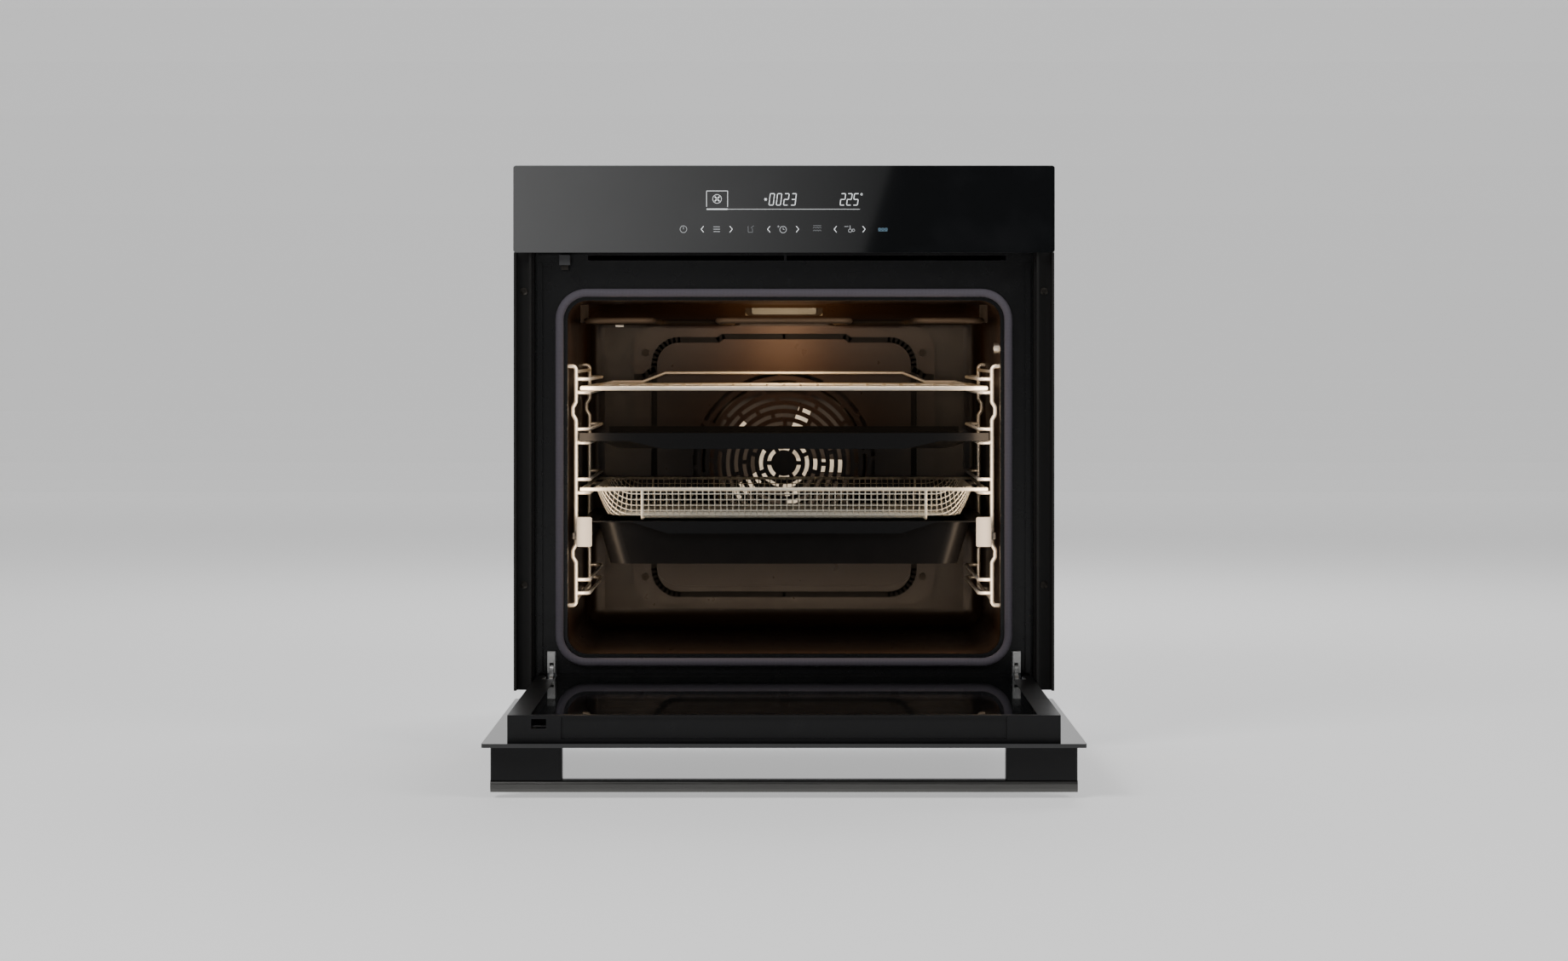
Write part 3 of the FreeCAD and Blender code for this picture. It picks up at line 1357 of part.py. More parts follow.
def door_lock():
    """The lock: a case behind the frame and a nose with the bolt's channel in front of it."""
    nose = box("lock_nose", ("-lock_out - 5.8", "5.8 - lock_out"), (-6, "frame_set"),
               ("lock_foot", "lock_head"))
    neck = box("lock_neck", ("-lock_out - 5.3", "5.3 - lock_out"), ("frame_set - 1", "frame_back + 2"),
               ("lock_foot + 1", "lock_head - 1"))
    case = box("lock_case", ("-lock_out - 12", "12 - lock_out"), ("frame_back", "frame_back + 38"),
               ("lock_foot - 6", "lock_head + 1"))
    channel = box("lock_channel", ("-lock_out - 4.2", "4.2 - lock_out"), ("bolt_front - 0.2", "bolt_back + 0.2"),
                  ("lock_foot - 1", "lock_head + 2"))
    return cut("door_lock", fuse("lock_whole", nose, neck, case), channel)


def lock_bolt():
    """The steel bolt, drawn up, with a chamfer-free square end."""
    return box("lock_bolt", ("-lock_out - 4", "4 - lock_out"), ("bolt_front", "bolt_back"),
               ("lock_foot - 5.5", "lock_head - 0.5"))


# ---------------------------------------------------------------------------
# Hinges: bracket and arm in the carcass, latch on the arm
# ---------------------------------------------------------------------------

def hinge_bracket(name):
    """Two cheeks and a foot on the base plate, with the cross pin that holds the arm."""
    y = ("toe_recess + sheet_thick + 0.2", "bracket_back")
    z = ("sheet_thick", "bracket_head")
    blank = box(f"{name}_blank", ("arm_inner - 3.5", "arm_inner + arm_thick + 3.5"), y, z)
    slot = box(f"{name}_slot", ("arm_inner - 0.1", "arm_inner + arm_thick + 0.1"),
               (f"{y[0]} - 1", f"{y[1]} + 1"), (f"{z[0]} + 6", f"{z[1]} + 1"))
    pin = rod(f"{name}_pin", "x", ("arm_inner - 1", 46, "hinge_line_z + 4"), "arm_thick + 2", 2)
    return fuse(name, cut(f"{name}_cheeks", blank, slot), pin)


def hinge_arm(name):
    """A flat arm: eye on the hinge line, latch lug and a tail into the bracket."""
    span = ("arm_inner", "arm_inner + arm_thick")
    eye = rod(f"{name}_eye", "x", (span[0], "hinge_line_y", "hinge_line_z"), "arm_thick", "arm_eye")
    tail = box(f"{name}_tail", span, ("hinge_line_y", "bracket_back - 2"),
               ("hinge_line_z - 5", "hinge_line_z + 8"))
    lug = rod(f"{name}_lug", "x", (span[0], "latch_pivot_y", "latch_pivot_z"), "arm_thick", 5.5)
    riser = box(f"{name}_riser", span, ("latch_pivot_y - 5.5", "latch_pivot_y + 5.5"),
                ("hinge_line_z + 4", "latch_pivot_z"))
    bores = [
        rod(f"{name}_pin_bore", "x", ("arm_inner - 1", "hinge_line_y", "hinge_line_z"),
            "arm_thick + 2", "hinge_pin + pin_fit"),
        rod(f"{name}_latch_bore", "x", ("arm_inner - 1", "latch_pivot_y", "latch_pivot_z"),
            "arm_thick + 2", "1.8 + pin_fit"),
        rod(f"{name}_tail_bore", "x", ("arm_inner - 1", 46, "hinge_line_z + 4"),
            "arm_thick + 2", "2 + pin_fit"),
    ]
    return cut(name, fuse(f"{name}_whole", eye, tail, lug, riser), *bores)


def hinge_latch(name):
    """A stirrup-shaped lever that straddles the arm and pivots on its lug."""
    x = ("latch_inner", "latch_inner + latch_width")
    blank = box(f"{name}_blank", x, ("latch_pivot_y - 4", "latch_pivot_y + 4"),
                ("latch_pivot_z - 4", "latch_pivot_z + latch_height"))
    slot = box(f"{name}_slot", ("arm_inner - 0.3", "arm_inner + arm_thick + 0.3"),
               ("latch_pivot_y - 5", "latch_pivot_y + 5"), ("latch_pivot_z - 5", "latch_pivot_z + 7"))
    pin = rod(f"{name}_pin", "x", ("latch_inner + 0.5", "latch_pivot_y", "latch_pivot_z"),
              "latch_width - 1", 1.8)
    return fuse(name, cut(f"{name}_stirrup", blank, slot), pin)


# ---------------------------------------------------------------------------
# Door, drawn closed
# ---------------------------------------------------------------------------

def outer_glass():
    """The black outer pane with its screw holes for the handle."""
    pane = slab("outer_pane", "XZ_Plane", (0, "glass_back", "(door_foot + door_head) / 2"),
                "front_width", "door_head - door_foot", "glass_round", "glass_thick")
    holes = []
    for name, out, level in HANDLE_SCREWS:
        holes.append(rod(f"pane_hole_{name}", "y", (out, "front_face - 1", level),
                         "glass_thick + 2", 2.6))
    return cut("outer_glass", pane, *holes)


HANDLE_SCREWS = tuple(
    (f"{side}_{end}", f"{sign}({out})", "handle_foot + handle_tall / 2 - screw_drop")
    for side, sign in (("right", ""), ("left", "-"))
    for end, out in (("outer", "handle_half - 36"), ("inner", "handle_half - handle_mount_width + 10"))
)


def inner_pane(name, face, head):
    """One of the clear panes between the door columns."""
    return slab(name, "XZ_Plane", (0, face, f"(pane_foot + {head}) / 2"),
                "2 * (column_inner - pane_gap)", f"{head} - pane_foot", 2, "glass_thick")


def door_column(name):
    """One side column of the door, hollowed for the hinge case and open at its foot."""
    y = ("glass_back", "door_inner_face")
    blank = box(f"{name}_blank", ("column_inner", "column_outer"), y, ("column_foot", "column_head"))
    outer = "hinge_pocket_inner + hinge_pocket_width"
    pocket_front = "hinge_line_y - arm_eye - 2"
    mouth = box(f"{name}_mouth", ("hinge_pocket_inner", outer), (pocket_front, "door_inner_face + 1"),
                ("column_foot - 1", "hinge_pocket_head"))
    well = box(f"{name}_well", ("hinge_pocket_inner", outer), ("case_front - 0.2", "case_back + 0.2"),
               ("hinge_pocket_head - 1", "case_head + 0.3"))
    screw_out, screw_level = HANDLE_SCREWS[0][1:]
    recess = rod(f"{name}_recess", "y", (screw_out, "glass_back - 1", screw_level),
                 "screw_head_tall + 1.5", "screw_head + 0.3")
    return cut(name, blank, mouth, well, recess)


def hinge_case(name):
    """The galvanised case: two cheeks by the hinge line, the pin and the spring box."""
    inner, outer = "hinge_pocket_inner + pane_gap", "hinge_pocket_inner + hinge_pocket_width - pane_gap"
    cheek_y = ("case_front", "case_back")
    pieces = []
    for tag, span in (("in", (inner, f"{inner} + sheet_thick")), ("out", (f"{outer} - sheet_thick", outer))):
        pieces.append(box(f"{name}_cheek_{tag}", span, cheek_y, ("column_foot + 1", "case_head")))
    pieces.append(box(f"{name}_spine", (inner, outer), ("case_front", "case_front + sheet_thick"),
                      ("hinge_pocket_head + 2", "case_head")))
    pieces.append(box(f"{name}_cap", (inner, outer), cheek_y, ("case_head - sheet_thick", "case_head")))
    pieces.append(box(f"{name}_anchor", (inner, outer), cheek_y,
                      ("hinge_pocket_head + 4", "hinge_pocket_head + 6")))
    pieces.append(rod(f"{name}_pin", "x", (inner, "hinge_line_y", "hinge_line_z"),
                      f"{outer} - ({inner})", "hinge_pin"))
    return fuse(name, *pieces)


def hinge_spring(name):
    """The tension spring of one hinge as a plain tube over its rod."""
    at = ("hinge_pocket_inner + hinge_pocket_width / 2", "(case_front + case_back) / 2 + 0.5",
          "hinge_pocket_head + 6")
    tube = rod(f"{name}_tube", "z", at, "case_head - sheet_thick - hinge_pocket_head - 6", 4.2)
    return tube


def bottom_rail():
    """The lower rail that joins the columns, pierced by four rounded air slots."""
    y = ("glass_back", "door_inner_face")
    blank = box("rail_blank", ("pane_gap - column_inner", "column_inner - pane_gap"), y,
                ("column_foot", "column_foot + rail_height"))
    holes = []
    half_slot = "air_slot_depth / 2"
    middle = f"glass_back + 2 + {half_slot}"
    spans = (("-199", "-126"), ("-118", "-4"), ("4", "118"), ("126", "199"))
    for number, (left, right) in enumerate(spans):
        holes.append(box(f"rail_slot_{number}", (f"{left} + {half_slot}", f"{right} - {half_slot}"),
                         (f"{middle} - {half_slot}", f"{middle} + {half_slot}"),
                         ("column_foot - 1", "column_foot + rail_height + 1")))
        for tag, x in (("left", f"{left} + {half_slot}"), ("right", f"{right} - {half_slot}")):
            holes.append(rod(f"rail_slot_{number}_{tag}", "z", (x, middle, "column_foot - 1"),
                             "rail_height + 2", half_slot))
    return cut("bottom_rail", blank, *holes)


def top_trim():
    """The upper trim with raised end caps and the slot that takes the lock bolt."""
    y = ("glass_back", "door_inner_face")
    blank = box("trim_blank", ("-column_outer", "column_outer"), y, ("column_head", "door_trim_top"))
    recess = box("trim_recess", (-220, 220), ("glass_back + 3", "door_inner_face - 2"),
                 ("door_trim_top - 3", "door_trim_top + 1"))
    slot = box("trim_lock_slot", ("-lock_out - lock_slot_width / 2", "lock_slot_width / 2 - lock_out"),
               ("bolt_front - 1.2", "bolt_front - 1.2 + lock_slot_depth"),
               ("column_head - 1", "door_trim_top + 1"))
    return cut("top_trim", blank, recess, slot)


def handle_bar():
    """The flat bar of the handle, rounded along its length."""
    return slab("handle_bar", "YZ_Plane",
                ("-handle_half", "front_face - handle_off - handle_thick / 2",
                 "handle_foot + handle_tall / 2"),
                "handle_thick", "handle_tall", "handle_round", "2 * handle_half")


def handle_mount(name):
    """One end block between the glass and the bar, tapped for two screws."""
    block = slab(f"{name}_block", "XZ_Plane",
                 ("handle_half - handle_mount_width / 2", "front_face", "handle_foot + handle_tall / 2"),
                 "handle_mount_width", "handle_tall - 3", 3, "handle_off")
    bores = []
    for tag, out, level in HANDLE_SCREWS[:2]:
        bores.append(rod(f"{name}_bore_{tag}", "y", (out, "front_face - 16", level), 18, 2.1))
    return cut(name, block, *bores)


def handle_screws():
    """Four screws from inside the door, through the glass into the mounts."""
    screws = []
    for name, out, level in HANDLE_SCREWS:
        head = rod(f"handle_head_{name}", "y", (out, "glass_back", level), "screw_head_tall",
                   "screw_head")
        shank = rod(f"handle_shank_{name}", "y", (out, "front_face - 13", level),
                    "glass_thick + 14", 2)
        screws.append(fuse(f"handle_screw_{name}", head, shank))
    return group("handle_screws", *screws)


def open_door(item):
    """Lay a piece that is drawn closed open by a right angle about the hinge line."""
    name = item.Name
    item.Label = f"{name}_closed"
    piece = group(f"{name}_open", item)
    piece.Label = name
    return place(piece, 0, "hinge_line_y + hinge_line_z", "hinge_line_z - hinge_line_y",
                 rotation=Rotation(Vector(1, 0, 0), 90))


# ---------------------------------------------------------------------------
# Assembly
# ---------------------------------------------------------------------------

def one_side(name, builder, side):
    """A right-hand piece, or its mirror image for the left."""
    if side == "right":
        return builder(name)
    drawn = builder(f"{name}_drawn")
    return mirror(name, drawn)


def housing_parts():
    """Every piece that stays still, and the small movers inside the housing."""
    rack = right_rack()
    return [
        base_plate(), both_sides("side_panels", side_panel), top_cover(), rear_cover(),
        front_frame(), both_sides("side_trims", side_trim), cavity(), door_gasket(), insulation(),
        fan_cover(), cover_screws(), fan_wheel(), ring_heater(), grill_element(), floor_heater(),
        motor_strap(), fan_motor(), lamp_lens(), lamp_frame(), lamp_holder(), lamp_bulb(),
        temperature_sensor(), probe_socket(), rack, mirror("left_rack", rack),
        both_sides("runner_rails", runner_rail),
        both_sides("runner_middles", lambda name: runner_bar(name, 1)),
        both_sides("runner_carriages", runner_carriage),
        wire_shelf(), baking_tray(), basket_mesh(), basket_frame(), roasting_pan(),
        air_duct(), blower_housing(), blower_wheel(), blower_motor(), panel_glass(),
        panel_carrier(), display_board(), power_board(), terminal_box(), door_lock(), lock_bolt(),
        both_sides("hinge_brackets", hinge_bracket), both_sides("hinge_arms", hinge_arm),
        one_side("right_latch", hinge_latch, "right"), one_side("left_latch", hinge_latch, "left"),
    ]


def door_parts():
    """Every piece that turns with the door, laid open."""
    closed = [
        outer_glass(), inner_pane("middle_glass", "middle_pane_back", "column_head - 2"),
        inner_pane("inner_glass", "door_inner_face", "column_head"),
        one_side("right_column", door_column, "right"), one_side("left_column", door_column, "left"),
        bottom_rail(), top_trim(), both_sides("hinge_cases", hinge_case),
        both_sides("hinge_springs", hinge_spring), handle_bar(),
        both_sides("handle_mounts", handle_mount), handle_screws(),
    ]
    return [open_door(item) for item in closed]


def check_document(parts):
    """Stop if any object failed, or any sub-part is empty or broken."""
    for item in doc.Objects:
        if "Invalid" in item.State or "Error" in item.State:
            raise RuntimeError(f"{item.Name} did not recompute: {item.State}")
    for part in parts:
        if part.Shape.isNull() or not part.Shape.isValid() or not part.Shape.Solids:
            raise RuntimeError(f"{part.Label} has no sound solid")


fill_sheet()
subparts = housing_parts() + door_parts()
doc.recompute()
check_document(subparts)
os.makedirs("parts", exist_ok=True)
for subpart in subparts:
    subpart.Shape.exportStep(f"parts/{subpart.Label}.step")
    print(subpart.Label, len(subpart.Shape.Solids), round(subpart.Shape.Volume))
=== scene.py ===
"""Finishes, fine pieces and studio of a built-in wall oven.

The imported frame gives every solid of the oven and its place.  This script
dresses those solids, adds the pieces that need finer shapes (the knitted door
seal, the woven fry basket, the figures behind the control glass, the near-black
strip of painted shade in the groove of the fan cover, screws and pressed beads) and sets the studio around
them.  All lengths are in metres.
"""

import json
import logging
import math
from dataclasses import dataclass
from enum import Enum
from typing import Any

import bmesh
import bpy
from mathutils import Matrix, Vector

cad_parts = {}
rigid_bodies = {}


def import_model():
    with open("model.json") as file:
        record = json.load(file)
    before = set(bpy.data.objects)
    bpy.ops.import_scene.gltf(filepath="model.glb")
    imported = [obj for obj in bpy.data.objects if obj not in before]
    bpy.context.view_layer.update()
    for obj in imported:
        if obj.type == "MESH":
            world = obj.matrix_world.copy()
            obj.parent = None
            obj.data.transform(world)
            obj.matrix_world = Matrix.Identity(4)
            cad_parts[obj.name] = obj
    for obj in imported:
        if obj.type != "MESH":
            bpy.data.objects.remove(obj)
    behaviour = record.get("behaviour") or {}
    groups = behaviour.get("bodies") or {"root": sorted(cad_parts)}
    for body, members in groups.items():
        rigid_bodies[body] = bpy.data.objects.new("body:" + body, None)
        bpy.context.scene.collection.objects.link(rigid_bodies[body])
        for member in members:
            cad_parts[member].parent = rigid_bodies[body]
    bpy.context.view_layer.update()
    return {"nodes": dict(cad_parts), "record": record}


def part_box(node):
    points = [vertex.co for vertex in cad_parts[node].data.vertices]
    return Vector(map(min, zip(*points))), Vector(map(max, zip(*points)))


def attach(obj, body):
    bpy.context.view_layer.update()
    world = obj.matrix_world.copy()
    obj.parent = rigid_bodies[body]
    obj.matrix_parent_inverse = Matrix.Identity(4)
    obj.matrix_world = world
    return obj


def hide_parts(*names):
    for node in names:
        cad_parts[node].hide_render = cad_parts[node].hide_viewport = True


LOG = logging.getLogger("wall_oven")
MM = 0.001
SIDES = (-1.0, 1.0)
Colour = tuple[float, float, float]
Place = tuple[float, float, float]


class Axis(Enum):
    """The direction in which a finish is brushed or drawn."""

    X = (0.02, 1.0, 1.0)
    Y = (1.0, 0.02, 1.0)
    Z = (1.0, 1.0, 0.02)
    NONE = (1.0, 1.0, 1.0)


class Value:
    """A number socket of a material that takes part in Python arithmetic."""

    def __init__(self, tree: bpy.types.NodeTree, socket: bpy.types.NodeSocket) -> None:
        """Keeps the socket and the tree it belongs to."""
        self.tree = tree
        self.socket = socket

    def _math(self, operation: str, *terms: "Value | float") -> "Value":
        """Adds one Math node.

        Args:
            operation: The Math node's operation.
            terms: Its inputs, as values or numbers.

        Returns:
            The node's result.
        """
        node = self.tree.nodes.new("ShaderNodeMath")
        node.operation = operation
        for socket, term in zip(node.inputs, terms):
            if isinstance(term, Value):
                self.tree.links.new(term.socket, socket)
            else:
                socket.default_value = term
        return Value(self.tree, node.outputs[0])

    def __add__(self, other: "Value | float") -> "Value":
        """Returns the sum."""
        return self._math("ADD", self, other)

    def __radd__(self, other: float) -> "Value":
        """Returns the sum."""
        return self._math("ADD", other, self)

    def __sub__(self, other: "Value | float") -> "Value":
        """Returns the difference."""
        return self._math("SUBTRACT", self, other)

    def __rsub__(self, other: float) -> "Value":
        """Returns the difference from a number."""
        return self._math("SUBTRACT", other, self)

    def __mul__(self, other: "Value | float") -> "Value":
        """Returns the product."""
        return self._math("MULTIPLY", self, other)

    def __rmul__(self, other: float) -> "Value":
        """Returns the product."""
        return self._math("MULTIPLY", other, self)

    def above(self, limit: float, soft: float = 0.1) -> "Value":
        """Returns 0 below a limit and 1 above it, with a soft edge.

        Args:
            limit: The value where the edge starts.
            soft: The width of the edge.

        Returns:
            The mask.
        """
        mask = (self - limit) * (1.0 / soft)
        mask.socket.node.use_clamp = True
        return mask

    def sine(self) -> "Value":
        """Returns the sine of the value."""
        return self._math("SINE", self)


class Paint:
    """The node tree of one material, with its principled shader at the end."""

    def __init__(self, name: str) -> None:
        """Makes the material and finds its shader.

        Args:
            name: The material's name.
        """
        self.material = bpy.data.materials.new(name)
        self.material.use_nodes = True
        self.tree = self.material.node_tree
        self.shader = self.tree.nodes["Principled BSDF"]
        self.coords = self.tree.nodes.new("ShaderNodeTexCoord").outputs["Object"]

    def feed(self, socket: bpy.types.NodeSocket, term: object) -> None:
        """Gives a socket a value or a link.

        Args:
            socket: The input to set.
            term: A Value, a socket, a number or a colour.
        """
        if isinstance(term, Value):
            term = term.socket
        if isinstance(term, bpy.types.NodeSocket):
            self.tree.links.new(term, socket)
        else:
            socket.default_value = term

    def node(self, kind: str, settings: dict[str, object] | None = None,
             inputs: dict[object, object] | None = None) -> bpy.types.Node:
        """Adds a node of any other kind.

        Args:
            kind: The node's type name.
            settings: Its settings, set first.
            inputs: Values or links by socket name or number.

        Returns:
            The new node.
        """
        node = self.tree.nodes.new(kind)
        for key, setting in (settings or {}).items():
            setattr(node, key, setting)
        for key, term in (inputs or {}).items():
            self.feed(node.inputs[key], term)
        return node

    def set(self, **terms: object) -> None:
        """Sets the shader's sockets; underscores in names stand for spaces."""
        for key, term in terms.items():
            self.feed(self.shader.inputs[key.replace("_", " ")], term)

    def stretched(self, axis: Axis) -> bpy.types.NodeSocket:
        """Stretches object coordinates along a direction.

        Args:
            axis: The direction.

        Returns:
            The coordinates.
        """
        if axis is Axis.NONE:
            return self.coords
        node = self.node("ShaderNodeMapping", inputs={"Vector": self.coords, "Scale": axis.value})
        return node.outputs[0]

    def noise(self, scale: float, detail: float = 3.0, axis: Axis = Axis.NONE) -> Value:
        """Adds a noise pattern.

        Args:
            scale: Features per metre.
            detail: Number of finer layers.
            axis: The direction the pattern is drawn along.

        Returns:
            The pattern, from 0 to 1.
        """
        node = self.node("ShaderNodeTexNoise", inputs={
            "Vector": self.stretched(axis), "Scale": scale, "Detail": detail})
        return Value(self.tree, node.outputs[0])

    def cells(self, scale: float) -> Value:
        """Adds a cell pattern.

        Args:
            scale: Cells per metre.

        Returns:
            The distance from the middle of the nearest cell.
        """
        node = self.node("ShaderNodeTexVoronoi", inputs={"Vector": self.coords, "Scale": scale})
        return Value(self.tree, node.outputs["Distance"])

    def crystals(self, scale: float) -> Value:
        """Adds cells that each have one shade.

        Args:
            scale: Cells per metre.

        Returns:
            The shade of the cell.
        """
        cell = self.node("ShaderNodeTexVoronoi", inputs={"Vector": self.coords, "Scale": scale})
        shade = self.node("ShaderNodeSeparateColor", inputs={0: cell.outputs["Color"]})
        return Value(self.tree, shade.outputs[0])

    def part(self, index: int) -> Value:
        """Returns one coordinate of the object's own space."""
        node = self.node("ShaderNodeSeparateXYZ", inputs={0: self.coords})
        return Value(self.tree, node.outputs[index])

    def mix(self, factor: "Value | float", first: object, second: object) -> bpy.types.NodeSocket:
        """Blends two colours.

        Args:
            factor: 0 gives the first, 1 the second.
            first: A colour or a socket.
            second: A colour or a socket.

        Returns:
            The blended colour.
        """
        node = self.node("ShaderNodeMix", {"data_type": "RGBA"})
        colours = [(*term, 1.0) if isinstance(term, tuple) else term for term in (first, second)]
        self.feed(node.inputs[0], factor)
        self.feed(node.inputs[6], colours[0])
        self.feed(node.inputs[7], colours[1])
        return node.outputs[2]

    def bump(self, height: Value, depth: float, strength: float = 1.0) -> None:
        """Raises the surface by a pattern.

        Args:
            height: The pattern.
            depth: Its height in metres.
            strength: How strongly it shades.
        """
        node = self.node("ShaderNodeBump", inputs={
            "Height": height, "Distance": depth, "Strength": strength})
        self.feed(self.shader.inputs["Normal"], node.outputs[0])


@dataclass(frozen=True)
class Finish:
    """What every finish has: a name, a colour and a gloss."""

    name: str
    colour: Colour
    roughness: float = 0.4

    def material(self) -> bpy.types.Material:
        """Returns the finish's material, made once."""
        known = bpy.data.materials.get(self.name)
        if known:
            return known
        paint = Paint(self.name)
        self.dress(paint)
        return paint.material

    def dress(self, paint: Paint) -> None:
        """Builds the finish's nodes."""
        raise NotImplementedError


@dataclass(frozen=True)
class Enamel(Finish):
    """Glossy vitreous enamel with fine pale flecks and a faint ripple."""

    fleck: Colour = (0.12, 0.12, 0.12)
    flecks: float = 2600.0
    ripple: float = 0.00008
    specular: float = 0.3

    def dress(self, paint: Paint) -> None:
        """Builds the finish's nodes.

        Args:
            paint: The material to build them in.
        """
        paint.shader.inputs["Specular IOR Level"].default_value = self.specular
        spots = 1.0 - paint.cells(self.flecks).above(0.16, 0.12)
        some = paint.noise(self.flecks * 0.6, 1.0).above(0.56, 0.08)
        cloud = paint.noise(9.0, 3.0)
        shade = tuple(0.72 * part for part in self.colour)
        base = paint.mix(cloud, shade, self.colour)
        paint.set(Base_Color=paint.mix(spots * some, base, self.fleck),
                  Roughness=self.roughness + paint.noise(60.0) * 0.12)
        paint.bump(paint.noise(240.0, 2.0), self.ripple, 0.5)


@dataclass(frozen=True)
class Zinc(Finish):
    """Galvanised sheet with crystal spangle and rolling marks."""

    dark: Colour = (0.36, 0.38, 0.4)
    spangle: float = 95.0

    def dress(self, paint: Paint) -> None:
        """Builds the finish's nodes.

        Args:
            paint: The material to build them in.
        """
        crystal = paint.crystals(self.spangle)
        lines = paint.noise(900.0, 2.0, Axis.Y)
        paint.set(Base_Color=paint.mix(crystal * 0.7 + lines * 0.3, self.dark, self.colour),
                  Metallic=0.9, Roughness=self.roughness + crystal * 0.2 + lines * 0.08)
        paint.bump(lines, 0.00002, 0.4)


@dataclass(frozen=True)
class Coat(Finish):
    """Powder coat or painted metal with a fine orange peel and rubbed spots."""

    worn: Colour = (0.12, 0.12, 0.12)
    grain: float = 1500.0
    metallic: float = 0.0
    specular: float = 0.22

    def dress(self, paint: Paint) -> None:
        """Builds the finish's nodes.

        Args:
            paint: The material to build them in.
        """
        paint.shader.inputs["Specular IOR Level"].default_value = self.specular
        rubbed = paint.noise(35.0, 5.0).above(0.6, 0.25)
        grain = paint.noise(self.grain, 2.0)
        paint.set(Base_Color=paint.mix(rubbed * 0.35 + grain * 0.12, self.colour, self.worn),
                  Metallic=self.metallic, Roughness=self.roughness + grain * 0.14 - rubbed * 0.06)
        paint.bump(grain, 0.00006, 0.7)


@dataclass(frozen=True)
class Brushed(Finish):
    """Metal brushed or drawn along one direction."""

    dark: Colour = (0.05, 0.05, 0.05)
    axis: Axis = Axis.X
    grain: float = 1400.0
    metallic: float = 1.0

    def dress(self, paint: Paint) -> None:
        """Builds the finish's nodes.

        Args:
            paint: The material to build them in.
        """
        strands = paint.noise(self.grain, 3.0, self.axis)
        cloud = paint.noise(18.0, 4.0)
        paint.set(Base_Color=paint.mix(strands * 0.75 + cloud * 0.25, self.dark, self.colour),
                  Metallic=self.metallic, Roughness=self.roughness + strands * 0.16)
        paint.bump(strands, 0.00004, 0.6)


@dataclass(frozen=True)
class Wire(Finish):
    """Plated wire with a warm heat tint and small pits."""

    tint: Colour = (0.62, 0.5, 0.36)
    metallic: float = 0.85

    def dress(self, paint: Paint) -> None:
        """Builds the finish's nodes.

        Args:
            paint: The material to build them in.
        """
        heat = paint.noise(22.0, 4.0).above(0.48, 0.35)
        pits = paint.cells(1500.0)
        paint.set(Base_Color=paint.mix(heat * 0.55, self.colour, self.tint),
                  Metallic=self.metallic, Roughness=self.roughness + paint.noise(300.0) * 0.14)
        paint.bump(pits, 0.00003, 0.35)


@dataclass(frozen=True)
class Moulded(Finish):
    """Moulded plastic or glazed ceramic with a fine eroded grain."""

    light: Colour = (0.1, 0.1, 0.1)
    grain: float = 900.0

    def dress(self, paint: Paint) -> None:
        """Builds the finish's nodes.

        Args:
            paint: The material to build them in.
        """
        grain = paint.noise(self.grain, 4.0)
        cloud = paint.noise(30.0, 3.0)
        paint.set(Base_Color=paint.mix(grain * 0.2 + cloud * 0.3, self.colour, self.light),
                  Roughness=self.roughness + grain * 0.12)
        paint.bump(grain, 0.00006, 0.5)


@dataclass(frozen=True)
class Wool(Finish):
    """Matted mineral fibre."""

    light: Colour = (0.62, 0.55, 0.4)

    def dress(self, paint: Paint) -> None:
        """Builds the finish's nodes.

        Args:
            paint: The material to build them in.
        """
        tufts = paint.noise(60.0, 6.0)
        fibres = paint.noise(700.0, 4.0)
        paint.set(Base_Color=paint.mix(tufts, self.colour, self.light), Roughness=self.roughness)
        paint.bump(tufts * 0.6 + fibres * 0.4, 0.0015, 0.9)


@dataclass(frozen=True)
class Glass(Finish):
    """Toughened glass: clear or tinted, with faint wipe marks."""

    alpha: float = 1.0
    haze: Colour = (0.03, 0.03, 0.033)

    def dress(self, paint: Paint) -> None:
        """Builds the finish's nodes.

        Args:
            paint: The material to build them in.
        """
        wipes = paint.noise(14.0, 4.0).above(0.5, 0.4)
        dust = paint.noise(1800.0, 1.0).above(0.7, 0.1)
        paint.set(Base_Color=paint.mix(wipes * 0.3 + dust * 0.2, self.colour, self.haze),
                  Roughness=self.roughness + wipes * 0.015 + dust * 0.04)
        paint.shader.inputs["IOR"].default_value = 1.52
        paint.shader.inputs["Alpha"].default_value = self.alpha


@dataclass(frozen=True)
class Knit(Finish):
    """Braided glass-fibre sleeve: two families of slanting yarns."""

    light: Colour = (0.2, 0.18, 0.2)
    pitch: float = 2600.0

    def dress(self, paint: Paint) -> None:
        """Builds the finish's nodes.

        Args:
            paint: The material to build them in.
        """
        across, rise = paint.part(0), paint.part(2)
        one = ((across + rise) * self.pitch).sine()
        two = ((across - rise) * self.pitch).sine()
        yarns = one * two * 0.5 + 0.5
        fuzz = paint.noise(2200.0, 3.0)
        paint.set(Base_Color=paint.mix(yarns * 0.55 + fuzz * 0.45, self.colour, self.light),
                  Roughness=self.roughness)
        paint.bump(yarns * 0.7 + fuzz * 0.3, 0.0004, 0.8)


@dataclass(frozen=True)
class Board(Finish):
    """Circuit board with solder mask, copper tracks and pads."""

    track: Colour = (0.05, 0.2, 0.08)

    def dress(self, paint: Paint) -> None:
        """Builds the finish's nodes.

        Args:
            paint: The material to build them in.
        """
        node = paint.node("ShaderNodeTexBrick", {"offset": 0.5}, {
            "Vector": paint.coords, "Scale": 160.0, "Mortar Size": 0.06})
        tracks = Value(paint.tree, node.outputs["Fac"])
        pads = 1.0 - paint.cells(220.0).above(0.2, 0.05)
        base = paint.mix(tracks, self.colour, self.track)
        paint.set(Base_Color=paint.mix(pads, base, (0.6, 0.55, 0.4)), Roughness=self.roughness)
        paint.bump(tracks, 0.00004, 0.6)


